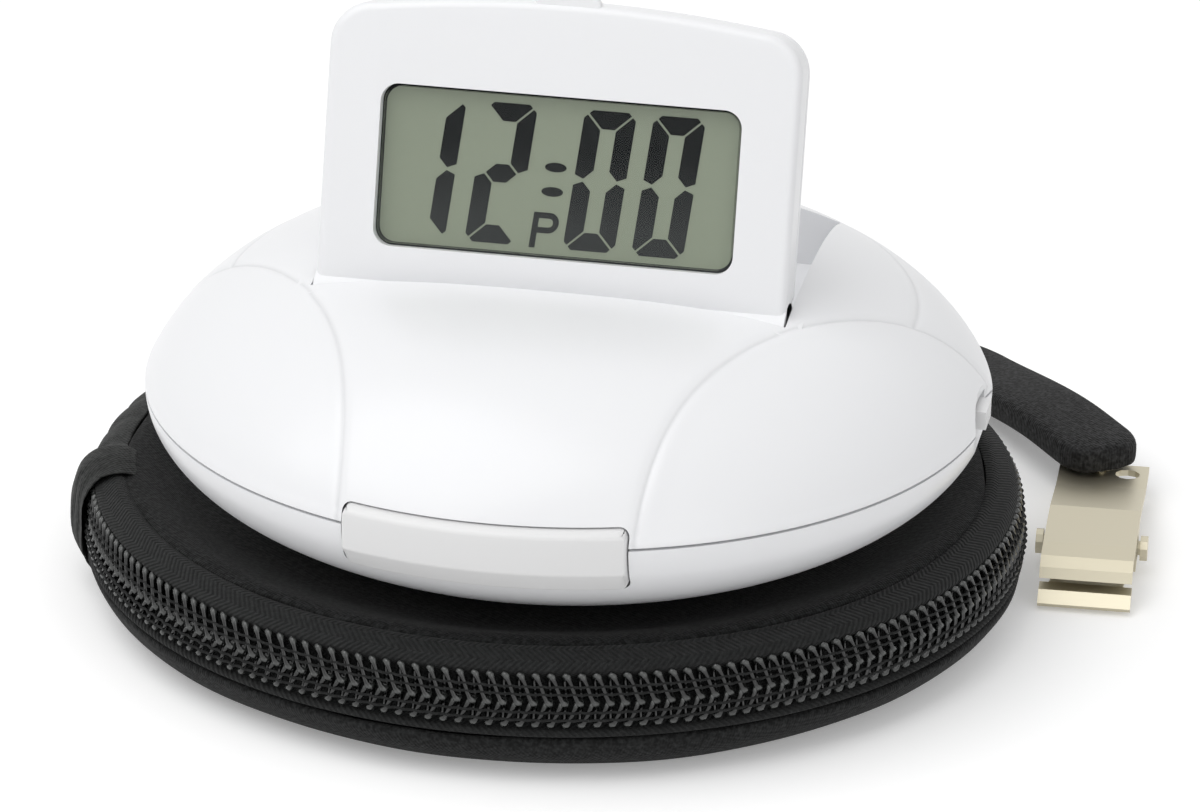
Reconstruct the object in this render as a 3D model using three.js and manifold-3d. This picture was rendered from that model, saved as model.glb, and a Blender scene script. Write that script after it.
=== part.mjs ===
// Fold-up vibrating alarm clock resting on its round zipped travel case.
// Millimetres, +Z up, clock front toward -Y, origin on the floor under the case centre.
import * as THREE from 'three';
import { mergeVertices } from 'three/addons/utils/BufferGeometryUtils.js';
import Module from 'manifold-3d';

const wasm = await Module();
wasm.setup();

// Fits
const GAP = 0.3;
const FAR = 60;

// Case: every radius steps in from the zip's outer edge, every height up from the floor
const CASE_R = 51.1;
const FABRIC = 2;
const TAPE = 0.8;
const HEM = 0.4;
const BASE_ROLL = 7.2;
const BASE_EDGE_R = CASE_R - HEM;
const BASE_FLAT_R = BASE_EDGE_R - BASE_ROLL;
const BASE_EDGE_Z = 5;

// Zip chain: nearly upright, slightly wider at its lower edge
const CHAIN_LIFT = 1.6;
const CHAIN_WIDTH = 5.3;
const CHAIN_TILT = 0.7;
const CHAIN_BOTTOM_Z = BASE_EDGE_Z + CHAIN_LIFT;
const CHAIN_TOP_Z = CHAIN_BOTTOM_Z + CHAIN_WIDTH;
const CHAIN_BOTTOM_R = CASE_R;
const CHAIN_TOP_R = CASE_R - CHAIN_TILT;

// Lid: a dished seat inside a raised rim, sewn to the upper tape
const TAPE_SHOWN = 3.9;
const RIM_RUN = 8.5;
const LID_DIP = 0.1;
const SEAM_RISE = 2.25;
const SEAM_R = CHAIN_TOP_R - TAPE_SHOWN;
const LID_FLAT_R = SEAM_R - RIM_RUN;
const LID_TOP_Z = CHAIN_TOP_Z - LID_DIP;

// Coil teeth and where the zip and the spine run
const COIL_DEPTH = 1.4;
const TOOTH_PITCH = 1.57;
const TOOTH_REACH = 0.7;
const TOOTH_GAP = 0.6;
const TOOTH_RIDGE = 0.35;
const ZIP_START = 194.5;
const ZIP_END = 438;
const SPINE_START = 80;
const HOOD_START = 188;
const HOOD_FULL = 191.5;
const HOOD_END = 199;
const HOOD_LIFT = 1.45;

// Slider and pull
const SLIDER_AZ = 73;
const SLIDER_HALF = 5.2;
const SLIDER_WALL = 1.15;
const PULL_LENGTH = 12;
const PULL_HEIGHT = 2.7;
const PULL_THICK = 1;
const PULL_PIN_R = 0.45;
const EYE_WALL = 0.35;
const LUG = 0.7;

// Strap: flat, limp, one bend on the floor behind the case
const STRAP_WIDTH = 9.4;
const STRAP_THICK = 3.6;
const STRAP_AZ = 86.7;
const STRAP_HEADING = 75;
const STRAP_LEAD = 3;
const STRAP_BEND_R = 19;
const STRAP_BEND = 130;
const STRAP_RUN = 33;
const STRAP_ROOT_RUN = 20;
const STRAP_TAIL_RUN = 34;
const STRAP_TIP = 3;
const STRAP_ROOT_Z = 3.4;
const STRAP_SPAN_Z = 2;

// Clip: local u runs from tail to mouth, w across, z up
const CLIP_LAP = 4.2;
const CLIP_TURN = 2.9;
const CLIP_SIDE = 1.5;
const CLIP_WIDTH = 10;
const CLIP_SHEET = 0.7;
const CLIP_TAIL_Z = 2.9;
const CLIP_PIVOT_U = 21.5;
const CLIP_PIVOT_Z = 2.9;
const CLIP_PIN_R = 0.8;
const CLIP_HEAD_R = 1.4;
const CLIP_EAR = 2.6;
const CLIP_HOLE_U = 2.8;
const CLIP_HOLE_W = 2.7;
const CLIP_HOLE_R = 1.4;
const RIVET_LAP = 1.9;
const RIVET_R = 0.9;
const RIVET_HEAD_R = 1.3;
const RIVET_HEAD = 0.5;

// Clock shells
const CLOCK_X = 2.2;
const CLOCK_Y = -5;
const CLOCK_R = 45;
const DOME_H = 14.8;
const DOME_FLAT = 4;
const DOME_ROUND = 1.3;
const BELLY_H = 16.9;
const BASE_DROP = 13;
const STAND = 1.2;
const WALL = 1.8;
const BASE_Z = LID_TOP_Z + STAND;
const SEAM_Z = BASE_Z + BASE_DROP;

// Moulded lines on the dome
const GROOVE_HALF = 0.55;
const GROOVE_DEPTH = 0.35;
const PETAL_X = CLOCK_R * 5 / 3;
const PETAL_Y = -CLOCK_R * 1.0444;
const PETAL_R = CLOCK_R * 4 / 3;
const REAR_LINE_R = CLOCK_R * 0.8178;

// Display panel, leaning back; s runs up the face, n out of it
const PANEL_HALF = CLOCK_R * 0.5533;
const PANEL_TOP = CLOCK_R * 0.6756;
const PANEL_SHOULDER = PANEL_TOP - 1.4;
const PANEL_CORNER = 4.5;
const PANEL_THICK = 6.2;
const PANEL_FOOT_Y = -CLOCK_R * 0.2589;
const PANEL_SINK = 1.1;
const PANEL_FOOT_Z = SEAM_Z + DOME_H - PANEL_SINK;
const PANEL_LEAN = 15.3;
const PANEL_BEVEL = 0.8;
const COVER_THICK = 1.5;
const FACE_WALL = 1.4;
const RIM_WALL = 1.6;
const BARREL_R = 2.6;
const HINGE_S = -2.5;
const HINGE_PIN_R = 1;
const HINGE_PIN_IN = 3.2;
const TAB_HALF = 3.5;
const TAB_PROUD = 0.9;
const WINDOW_W = 2 * PANEL_HALF - 11.75;
const WINDOW_S = 3.8;
const WINDOW_H = PANEL_TOP - WINDOW_S - 9.6;
const WINDOW_CORNER = 1.9;
const LENS_THICK = 0.9;
const LCD_THICK = 1.1;
const LAYER_THICK = 0.5;
const LCD_MARGIN = 2;

// Well the panel folds into
const WELL_SIDE = 0.4;
const WELL_WALL = 1.6;
const WELL_REAR_WALL = 4;
const WELL_DEPTH = 9.3;
const BUTTON_R = 2.2;
const BUTTON_FLANGE = 0.7;
const BUTTON_PROUD = 1.1;
const BUTTON_TRAVEL = 0.5;
const BUTTON_PITCH = 10;
const BUTTON_Y = 9;

// Bar button on the front rim
const BAR_HALF = 14.4;
const BAR_PROUD = 0.5;
const BAR_ABOVE = 2;
const BAR_BELOW = 5;
const BAR_BREAK = 2.3;
const BAR_DEPTH = 2.4;

// Side switch
const SCOOP_R = 25;
const SCOOP_DEPTH = 1.3;
const KNOB_HALF_Y = 2;
const KNOB_HALF_Z = 1;
const KNOB_TRAVEL = 1.5;
const KNOB_PLATE = 1;

// Inside the clock
const CELL_R = 5.25;
const CELL_LENGTH = 44.5;
const CELL_NUB_R = 2.7;
const CELL_NUB = 1;
const CELL_SPACING = 11.2;
const DOOR_THICK = 1.5;
const DOOR_HALF = 24.6;
const DOOR_FRONT = -11.8;
const TRAY_WALL = 1.2;
const CONTACT = 0.4;
const SPRING_ROOM = 5.2;
const SPRING_R = 3;
const SPRING_WIRE = 0.4;
const SPRING_TURNS = 2.5;
const BOARD = 1.3;
const BOARD_HALF = 25.5;
const BOARD_FRONT = -12;
const BOARD_REAR = 27;
const MOTOR_R = 4.5;
const MOTOR_Y = -20.5;
const MOTOR_X = -9.5;
const MOTOR_LENGTH = 13;
const MOTOR_SHAFT_R = 0.75;
const WEIGHT_R = 4.8;
const WEIGHT_LENGTH = 4.5;
const SOUNDER_R = 6.8;
const SOUNDER_H = 4.2;
const SOUNDER_Y = 20;
const SCREW_R = 1;
const SCREW_HEAD_R = 1.9;
const SCREW_HEAD = 1.2;
const SCREW_LENGTH = 7;
const SCREW_RECESS = 2.2;
const BOSS_WALL = 1.3;
const FOOT_R = 3.2;
const FOOT_SINK = 0.5;
const FRONT_FOOT = [7, -24];
const REAR_FOOT = [15, 20];
const FRONT_SCREW = [16, -19.5];
const SIDE_SCREW_OUT = 9.15;
const SIDE_SCREW = [CELL_LENGTH / 2 + SIDE_SCREW_OUT, 2];

// Facets
const ROUND = 56;
const HIDDEN_ROUND = 24;
const SMALL = 10;

const deg = (angle) => angle * Math.PI / 180;
const polar = (radius, angle, z) =>
  new THREE.Vector3(radius * Math.cos(angle), radius * Math.sin(angle), z);

// Closed surface from points and triangles, turned to face outward
function surface(points, faces) {
  let volume = 0;
  for (const [a, b, c] of faces) {
    volume += points[a].dot(new THREE.Vector3().crossVectors(points[b], points[c]));
  }
  const turned = volume < 0 ? faces.map(([a, b, c]) => [a, c, b]) : faces;
  const geometry = new THREE.BufferGeometry();
  geometry.setAttribute('position', new THREE.Float32BufferAttribute(points.flatMap((p) => p.toArray()), 3));
  geometry.setIndex(turned.flat());
  return geometry;
}

// Triangles that close one end of a loft
function capFaces(ring, offset) {
  const normal = new THREE.Vector3();
  ring.forEach((p, i) => normal.add(new THREE.Vector3().crossVectors(p, ring[(i + 1) % ring.length])));
  normal.normalize();
  const across = new THREE.Vector3().subVectors(ring[1], ring[0]).normalize();
  const up = new THREE.Vector3().crossVectors(normal, across);
  const flat = ring.map((p) => new THREE.Vector2(p.dot(across), p.dot(up)));
  return THREE.ShapeUtils.triangulateShape(flat, []).map((face) => face.map((i) => i + offset));
}

// Skin through equal rings, either a closed loop or capped at both ends
function loft(rings, loop) {
  const points = rings.flat();
  const count = rings[0].length;
  const spans = loop ? rings.length : rings.length - 1;
  const faces = [];
  for (let i = 0; i < spans; i += 1) {
    const here = i * count;
    const next = ((i + 1) % rings.length) * count;
    for (let j = 0; j < count; j += 1) {
      const k = (j + 1) % count;
      faces.push([here + j, here + k, next + k], [here + j, next + k, next + j]);
    }
  }
  if (!loop) {
    const start = capFaces(rings[0], 0).map(([a, b, c]) => [a, c, b]);
    faces.push(...start, ...capFaces(rings.at(-1), points.length - count));
  }
  return surface(points, faces);
}

// Section of [radius, z] points swept about the Z axis
function sweep(sectionAt, from, to, stations) {
  const steps = Math.round(stations);
  const rings = [];
  for (let i = 0; i <= steps; i += 1) {
    const angle = from + (to - from) * i / steps;
    rings.push(sectionAt(angle, i).map(([r, z]) => polar(r, deg(angle), z)));
  }
  return loft(rings, false);
}

// Solid of revolution whose profile starts and ends on the axis
function revolve(profile, sides = ROUND) {
  const segments = Math.round(sides);
  const points = [new THREE.Vector3(0, 0, profile[0][1])];
  const inner = profile.slice(1, -1);
  for (const [r, z] of inner) {
    for (let i = 0; i < segments; i += 1) points.push(polar(r, deg(360 * i / segments), z));
  }
  points.push(new THREE.Vector3(0, 0, profile.at(-1)[1]));
  const last = points.length - 1;
  const faces = [];
  const at = (ring, i) => 1 + ring * segments + (i % segments);
  for (let i = 0; i < segments; i += 1) {
    faces.push([0, at(0, i + 1), at(0, i)]);
    for (let ring = 0; ring < inner.length - 1; ring += 1) {
      faces.push([at(ring, i), at(ring, i + 1), at(ring + 1, i + 1)]);
      faces.push([at(ring, i), at(ring + 1, i + 1), at(ring + 1, i)]);
    }
    faces.push([at(inner.length - 1, i), at(inner.length - 1, i + 1), last]);
  }
  return surface(points, faces);
}

// Boolean bodies
function body(geometry) {
  const plain = geometry.clone();
  plain.deleteAttribute('normal');
  plain.deleteAttribute('uv');
  const merged = mergeVertices(plain, 1e-4);
  return new wasm.Manifold(new wasm.Mesh({
    numProp: 3,
    vertProperties: new Float32Array(merged.attributes.position.array),
    triVerts: new Uint32Array(merged.index.array),
  }));
}

function box(x0, x1, y0, y1, z0, z1) {
  const geometry = new THREE.BoxGeometry(x1 - x0, y1 - y0, z1 - z0);
  return geometry.translate((x0 + x1) / 2, (y0 + y1) / 2, (z0 + z1) / 2);
}

function post(radius, x, y, z0, z1, segments = SMALL) {
  const geometry = new THREE.CylinderGeometry(radius, radius, z1 - z0, segments);
  return geometry.rotateX(Math.PI / 2).translate(x, y, (z0 + z1) / 2);
}

// Round bar along X
function bar(radius, x0, x1, y, z, segments = SMALL) {
  const geometry = new THREE.CylinderGeometry(radius, radius, x1 - x0, segments);
  return geometry.rotateZ(Math.PI / 2).translate((x0 + x1) / 2, y, z);
}

const group = new THREE.Group();
group.name = 'vibrating_alarm_clock';

function add(name, shape, color, roughness, metalness = 0, place = new THREE.Matrix4()) {
  let geometry = shape;
  if (!shape.isBufferGeometry) {
    const mesh = shape.getMesh();
    geometry = new THREE.BufferGeometry();
    geometry.setAttribute('position', new THREE.Float32BufferAttribute(mesh.vertProperties, 3));
    geometry.setIndex(Array.from(mesh.triVerts));
  }
  geometry.applyMatrix4(place);
  geometry.computeVertexNormals();
  const material = new THREE.MeshStandardMaterial({ color, roughness, metalness });
  const mesh = new THREE.Mesh(geometry, material);
  mesh.name = name;
  group.add(mesh);
}

const WHITE = 0xf4f4f2;
const IVORY = 0xece9e2;
const BLACK = 0x1b1b1c;
const NICKEL = 0xc8c3a8;
const STEEL = 0xb8babd;
const BRASS = 0xc9a24b;
const GREEN = 0x1d5a3a;

// Case lid: flat seat for the clock inside a raised rim
const seamZ = LID_TOP_Z + SEAM_RISE;
const lidSkin = [
  [LID_FLAT_R, LID_TOP_Z],
  [LID_FLAT_R + RIM_RUN * 0.45, LID_TOP_Z + SEAM_RISE * 0.5],
  [LID_FLAT_R + RIM_RUN * 0.8, seamZ - 0.15],
  [SEAM_R, seamZ],
];
const lidProfile = [
  [0, LID_TOP_Z],
  ...lidSkin,
  [SEAM_R, seamZ - FABRIC * 0.6],
  [SEAM_R - 1.2, seamZ - FABRIC],
  [LID_FLAT_R + RIM_RUN * 0.45, LID_TOP_Z + SEAM_RISE * 0.5 - FABRIC],
  [LID_FLAT_R - 0.5, LID_TOP_Z - FABRIC],
  [0, LID_TOP_Z - FABRIC],
];
add('case_lid', revolve(lidProfile), BLACK, 0.9);

// Case base: flat underside rolling up to the lower tape
const baseProfile = [
  [0, 0],
  [BASE_FLAT_R, 0],
  [BASE_FLAT_R + 3.8, 0.9],
  [BASE_EDGE_R - 1.2, 2.9],
  [BASE_EDGE_R, BASE_EDGE_Z],
  [BASE_EDGE_R - 1.5, BASE_EDGE_Z],
  [BASE_EDGE_R - 2.8, 3.5],
  [BASE_FLAT_R + 2.8, FABRIC + 0.4],
  [BASE_FLAT_R, FABRIC],
  [0, FABRIC],
];
add('case_base', revolve(baseProfile), BLACK, 0.9);

// Zip chain face as a radius for each height
const chainSlope = (CHAIN_TOP_R - CHAIN_BOTTOM_R) / (CHAIN_TOP_Z - CHAIN_BOTTOM_Z);
const chainR = (z) => CHAIN_BOTTOM_R + chainSlope * (z - CHAIN_BOTTOM_Z);
const chainMidZ = (CHAIN_TOP_Z + CHAIN_BOTTOM_Z) / 2;
const tapeR = (z) => chainR(z) - COIL_DEPTH - GAP;
const tapeEdge = SEAM_R + GAP;
const shoulderR = CHAIN_TOP_R - 0.7;
const tapeSpan = [ZIP_START, ZIP_END, 38];

const upperTape = [
  [tapeEdge, seamZ - 0.05],
  [tapeEdge + 1.8, seamZ - 0.6],
  [shoulderR, CHAIN_TOP_Z + 0.75],
  [shoulderR - 0.1, CHAIN_TOP_Z + GAP + 0.05],
  [tapeR(CHAIN_TOP_Z), CHAIN_TOP_Z],
  [tapeR(chainMidZ), chainMidZ + GAP / 2],
  [tapeR(chainMidZ) - TAPE, chainMidZ + GAP / 2],
  [tapeR(CHAIN_TOP_Z) - TAPE, CHAIN_TOP_Z - 0.1],
  [tapeEdge + 0.6, seamZ - 1.45],
  [tapeEdge, seamZ - 1.05],
];
add('zip_tape_upper', sweep(() => upperTape, ...tapeSpan), BLACK, 0.95);

const hemZ = BASE_EDGE_Z + GAP;
const lowerTape = [
  [BASE_EDGE_R, hemZ],
  [BASE_EDGE_R - 0.1, CHAIN_BOTTOM_Z - 0.7],
  [tapeR(CHAIN_BOTTOM_Z), CHAIN_BOTTOM_Z - 0.4],
  [tapeR(chainMidZ), chainMidZ - GAP / 2],
  [tapeR(chainMidZ) - TAPE, chainMidZ - GAP / 2],
  [tapeR(CHAIN_BOTTOM_Z) - TAPE, CHAIN_BOTTOM_Z],
  [BASE_EDGE_R - 1.4, hemZ],
];
add('zip_tape_lower', sweep(() => lowerTape, ...tapeSpan), BLACK, 0.95);

// Meshed coil rows: both inner edges follow one zigzag so the loops interlock
const chainLength = deg(ZIP_END - ZIP_START) * chainR(chainMidZ);
const halfTeeth = 2 * Math.round(chainLength / TOOTH_PITCH);
function coilRow(edgeZ, side) {
  const section = (angle, i) => {
    const crest = i % 2 === 0 ? 1 : -1;
    const meshZ = chainMidZ + crest * TOOTH_REACH + side * TOOTH_GAP / 2;
    const ridge = crest * side > 0 ? TOOTH_RIDGE : 0;
    return [
      [chainR(edgeZ) - ridge, edgeZ],
      [chainR(meshZ) - ridge, meshZ],
      [chainR(meshZ) - COIL_DEPTH, meshZ],
      [chainR(edgeZ) - COIL_DEPTH, edgeZ],
    ];
  };
  return sweep(section, ZIP_START, ZIP_END, halfTeeth);
}
add('zip_coil_upper', coilRow(CHAIN_TOP_Z, 1), BLACK, 0.4);
add('zip_coil_lower', coilRow(CHAIN_BOTTOM_Z, -1), BLACK, 0.4);

// Spine: joins lid and base behind, its end folded over the start of the zip
const spineOuter = [
  [tapeEdge, seamZ - 0.05],
  [tapeEdge + 2, seamZ - 0.65],
  [CHAIN_TOP_R, CHAIN_TOP_Z + GAP],
  [chainR(chainMidZ) + 0.4, chainMidZ + 1.2],
  [chainR(chainMidZ) + 0.45, chainMidZ - 1.2],
  [BASE_EDGE_R + 0.2, hemZ + 0.1],
];
const spineInner = [
  [BASE_EDGE_R - 1.2, hemZ + 0.1],
  [tapeR(chainMidZ) + 0.6, chainMidZ - 1.2],
  [tapeR(chainMidZ) + 0.5, chainMidZ + 1.2],
  [tapeR(CHAIN_TOP_Z) + 0.2, CHAIN_TOP_Z - 0.4],
  [tapeEdge + 1, seamZ - 1.5],
  [tapeEdge, seamZ - 1.05],
];
const hoodOuter = spineOuter.map(([r, z], i) => [r + HOOD_LIFT * Math.min(1, 0.3 + i * 0.25), z]);
hoodOuter[0][1] += 1.35;
hoodOuter[1][1] += 1.3;
hoodOuter[2][1] += 0.8;
const hoodInner = hoodOuter.map(([r, z], i) => [r - Math.min(0.85, 0.25 + i * 0.2), z]).reverse();
hoodInner[5][1] -= 0.85;
hoodInner[4][1] -= 0.7;
hoodInner[3][1] -= 0.4;
function spineSection(angle) {
  const plain = [...spineOuter, ...spineInner];
  const hood = [...hoodOuter, ...hoodInner];
  const blend = THREE.MathUtils.smoothstep(angle, HOOD_START, HOOD_FULL);
  return plain.map(([r, z], i) => [r + (hood[i][0] - r) * blend, z + (hood[i][1] - z) * blend]);
}
add('case_spine', sweep(spineSection, SPINE_START, HOOD_END, 32), BLACK, 0.8);

// Slider: channel that straddles the outside of the chain
const lipIn = CHAIN_TOP_Z + GAP;
const lipOut = CHAIN_BOTTOM_Z - GAP;
const saddleR = (z) => chainR(z) + GAP + 0.05;
const sliderSection = [
  [CHAIN_TOP_R - 0.1, lipIn + LUG],
  [saddleR(lipIn) + SLIDER_WALL - 0.5, lipIn + LUG],
  [saddleR(lipIn) + SLIDER_WALL, lipIn],
  [saddleR(lipOut) + SLIDER_WALL, lipOut],
  [saddleR(lipOut) + SLIDER_WALL - 0.2, lipOut - 0.6],
  [CHAIN_BOTTOM_R - 0.05, lipOut - 0.6],
  [CHAIN_BOTTOM_R - 0.05, lipOut],
  [saddleR(lipOut), lipOut],
  [saddleR(lipIn), lipIn],
  [CHAIN_TOP_R - 0.1, lipIn],
];
const sliderSpan = THREE.MathUtils.radToDeg(SLIDER_HALF / chainR(chainMidZ));
const saddle = body(sweep(() => sliderSection, SLIDER_AZ - sliderSpan, SLIDER_AZ + sliderSpan, 6));
const eyeR = PULL_PIN_R + GAP + EYE_WALL;
const pullR = saddleR(lipOut) + SLIDER_WALL + GAP + eyeR - 0.2;
const pullHalf = PULL_HEIGHT / 2;
const lugInner = saddleR(chainMidZ) + SLIDER_WALL / 2;
const lugOuter = pullR + PULL_PIN_R + GAP;
const turnToSlider = (geometry) => geometry.rotateZ(deg(SLIDER_AZ));
const lug = (z) => body(turnToSlider(box(lugInner, lugOuter, -1, 1, z, z + LUG)));
const pinReach = pullHalf + GAP + LUG / 2;
const pullPin = post(PULL_PIN_R, pullR, 0, chainMidZ - pinReach, chainMidZ + pinReach, 12);
const slider = saddle
  .add(lug(chainMidZ - pullHalf - GAP - LUG))
  .add(lug(chainMidZ + pullHalf + GAP))
  .add(body(turnToSlider(pullPin)));
add('zip_slider', slider, STEEL, 0.35, 1);

// Pull: flat tag hanging on the slider's pin, laid back along the chain
const pullZ = [chainMidZ - pullHalf, chainMidZ + pullHalf];
const tagBox = box(pullR - PULL_THICK / 2, pullR + PULL_THICK / 2, -PULL_LENGTH, 0, ...pullZ);
const eye = body(turnToSlider(post(eyeR, pullR, 0, ...pullZ)));
const pinWay = body(turnToSlider(post(PULL_PIN_R + GAP, pullR, 0, 0, FAR)));
add('zip_pull', body(turnToSlider(tagBox)).add(eye).subtract(pinWay), STEEL, 0.35, 1);

// Strap centre line: out from the case, one bend, then straight to the clip
const strapEndZ = CLIP_TAIL_Z + CLIP_SHEET / 2 + GAP + STRAP_THICK / 2;
const strapBendLength = STRAP_BEND_R * deg(STRAP_BEND);
const strapLength = STRAP_LEAD + strapBendLength + STRAP_RUN;
function strapPoint(along) {
  const point = polar(BASE_EDGE_R + 3 * GAP, deg(STRAP_AZ), 0);
  const heading = deg(STRAP_HEADING);
  const lead = Math.min(along, STRAP_LEAD);
  const turn = THREE.MathUtils.clamp(along - STRAP_LEAD, 0, strapBendLength) / STRAP_BEND_R;
  const run = Math.max(0, along - STRAP_LEAD - strapBendLength);
  const left = heading + Math.PI / 2;
  const last = heading - turn;
  point.x += lead * Math.cos(heading) + STRAP_BEND_R * (Math.cos(left - turn) - Math.cos(left));
  point.y += lead * Math.sin(heading) + STRAP_BEND_R * (Math.sin(left - turn) - Math.sin(left));
  point.x += run * Math.cos(last);
  point.y += run * Math.sin(last);
  const fall = THREE.MathUtils.smoothstep(along, 0, STRAP_ROOT_RUN);
  const tailStart = strapLength - STRAP_WIDTH;
  const rise = THREE.MathUtils.smoothstep(along, tailStart - STRAP_TAIL_RUN, tailStart);
  const spanZ = STRAP_ROOT_Z + (STRAP_SPAN_Z - STRAP_ROOT_Z) * fall;
  point.z = spanZ + (strapEndZ - STRAP_SPAN_Z) * rise;
  return { point, heading: last };
}
const strapRings = [];
const strapSteps = 28;
const strapSides = 12;
for (let i = 0; i <= strapSteps; i += 1) {
  const along = strapLength * i / strapSteps;
  const { point, heading } = strapPoint(along);
  const side = new THREE.Vector3(Math.sin(heading), -Math.cos(heading), 0);
  const toTip = Math.min(1, (strapLength - along) / STRAP_TIP);
  const half = STRAP_WIDTH / 2 * (0.72 + 0.28 * Math.sqrt(toTip));
  const ring = [];
  for (let j = 0; j < strapSides; j += 1) {
    const turn = 2 * Math.PI * j / strapSides;
    const across = Math.sign(Math.cos(turn)) * Math.abs(Math.cos(turn)) ** 0.55;
    const high = Math.sign(Math.sin(turn)) * Math.abs(Math.sin(turn)) ** 0.75;
    const at = point.clone().addScaledVector(side, half * across);
    at.z += STRAP_THICK / 2 * high;
    ring.push(at);
  }
  strapRings.push(ring);
}
// Clip set to one side of the strap, riveted through the strap's lower layer only
const { point: clipTail, heading: tailHeading } = strapPoint(strapLength - CLIP_LAP);
const clipTurn = deg(CLIP_TURN);
const clipX = clipTail.x + CLIP_SIDE * Math.cos(clipTurn);
const clipY = clipTail.y + CLIP_SIDE * Math.sin(clipTurn);
const clipPlace = new THREE.Matrix4().makeRotationZ(clipTurn).setPosition(clipX, clipY, 0);
const rivetW = RIVET_LAP * Math.cos(tailHeading - clipTurn) - CLIP_SIDE;
const rivetU = -RIVET_LAP * Math.sin(tailHeading - clipTurn);
const rivetTopZ = strapEndZ - RIVET_HEAD;
const rivetWay = body(post(RIVET_R + GAP, rivetW, -rivetU, -FAR, rivetTopZ).applyMatrix4(clipPlace));
const headPocket = body(
  post(RIVET_HEAD_R + GAP, rivetW, -rivetU, rivetTopZ - GAP, rivetTopZ + RIVET_HEAD + GAP).applyMatrix4(clipPlace),
);
add('strap', body(loft(strapRings, false)).subtract(rivetWay).subtract(headPocket), BLACK, 0.85);

// Bent sheet: [u, z] centre line given thickness and width
function sheet(line, width) {
  const points = line.map(([u, z]) => new THREE.Vector2(u, z));
  const normals = points.map((p, i) => {
    const before = points[Math.max(0, i - 1)];
    const after = points[Math.min(points.length - 1, i + 1)];
    const along = after.clone().sub(before).normalize();
    return new THREE.Vector2(-along.y, along.x).multiplyScalar(CLIP_SHEET / 2);
  });
  const top = points.map((p, i) => p.clone().add(normals[i]));
  const under = points.map((p, i) => p.clone().sub(normals[i])).reverse();
  const ring = (w) => [...top, ...under].map((p) => new THREE.Vector3(w, -p.x, p.y));
  return body(loft([ring(-width / 2), ring(width / 2)], false));
}

// Upper plate with ears, and a hole beside the strap
const plateLine = [
  [0, CLIP_TAIL_Z],
  [7, CLIP_TAIL_Z + 0.3],
  [17, CLIP_PIVOT_Z + 2.05],
  [27, CLIP_PIVOT_Z + 2.15],
  [30, CLIP_PIVOT_Z + 1.9],
  [31.2, CLIP_PIVOT_Z + 1.2],
  [31.6, CLIP_PIVOT_Z + 0.2],
];
const earOut = CLIP_WIDTH / 2;
const earIn = earOut - CLIP_SHEET;
const earSpan = [-CLIP_PIVOT_U - CLIP_EAR, -CLIP_PIVOT_U + CLIP_EAR];
const earZ = [CLIP_PIVOT_Z - 1.7, CLIP_PIVOT_Z + 2.05];
const clipPinWay = body(bar(CLIP_PIN_R + GAP, -FAR, FAR, -CLIP_PIVOT_U, CLIP_PIVOT_Z));
const clipPlate = sheet(plateLine, CLIP_WIDTH)
  .add(body(box(earIn, earOut, ...earSpan, ...earZ)))
  .add(body(box(-earOut, -earIn, ...earSpan, ...earZ)))
  .subtract(clipPinWay)
  .subtract(body(post(CLIP_HOLE_R, CLIP_HOLE_W, -CLIP_HOLE_U, -FAR, FAR)))
  .subtract(body(post(RIVET_R + GAP, rivetW, -rivetU, -FAR, FAR)));
add('clip_plate', clipPlate, NICKEL, 0.25, 1, clipPlace);

// Lower jaw: short lever behind the pivot, lipped mouth in front
const jawLine = [
  [14, CLIP_PIVOT_Z - 1.9],
  [21, CLIP_PIVOT_Z - 2],
  [28, CLIP_PIVOT_Z - 1.8],
  [30.6, CLIP_PIVOT_Z - 1],
  [32, CLIP_PIVOT_Z - 1.2],
  [33.2, CLIP_PIVOT_Z - 2.25],
];
const lugOut = earIn - GAP;
const lugIn = lugOut - CLIP_SHEET;
const lugSpan = [-CLIP_PIVOT_U - 1.5, -CLIP_PIVOT_U + 1.5];
const lugZ = [CLIP_PIVOT_Z - 2, CLIP_PIVOT_Z + 1.3];
const lipLine = jawLine.slice(3);
const clipJaw = sheet(jawLine, 2 * lugOut)
  .add(sheet(lipLine, CLIP_WIDTH))
  .add(body(box(lugIn, lugOut, ...lugSpan, ...lugZ)))
  .add(body(box(-lugOut, -lugIn, ...lugSpan, ...lugZ)))
  .subtract(clipPinWay);
add('clip_jaw', clipJaw, NICKEL, 0.25, 1, clipPlace);

// Pivot pin with a head outside each ear
const headIn = earOut + GAP;
const headOut = headIn + CLIP_PIN_R;
const clipPin = body(bar(CLIP_PIN_R, -headIn - 0.1, headIn + 0.1, -CLIP_PIVOT_U, CLIP_PIVOT_Z))
  .add(body(bar(CLIP_HEAD_R, headIn, headOut, -CLIP_PIVOT_U, CLIP_PIVOT_Z)))
  .add(body(bar(CLIP_HEAD_R, -headOut, -headIn, -CLIP_PIVOT_U, CLIP_PIVOT_Z)));
add('clip_pin', clipPin, NICKEL, 0.25, 1, clipPlace);

// Rivet through the plate, its upper head between the strap's layers
const rivetFootZ = CLIP_TAIL_Z - CLIP_SHEET / 2 - GAP;
const rivet = body(post(RIVET_R, rivetW, -rivetU, rivetFootZ - 0.3, rivetTopZ + 0.3))
  .add(body(post(RIVET_HEAD_R, rivetW, -rivetU, rivetTopZ, rivetTopZ + RIVET_HEAD)))
  .add(body(post(RIVET_HEAD_R, rivetW, -rivetU, rivetFootZ - RIVET_HEAD, rivetFootZ)));
add('clip_rivet', rivet, NICKEL, 0.25, 1, clipPlace);

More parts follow.
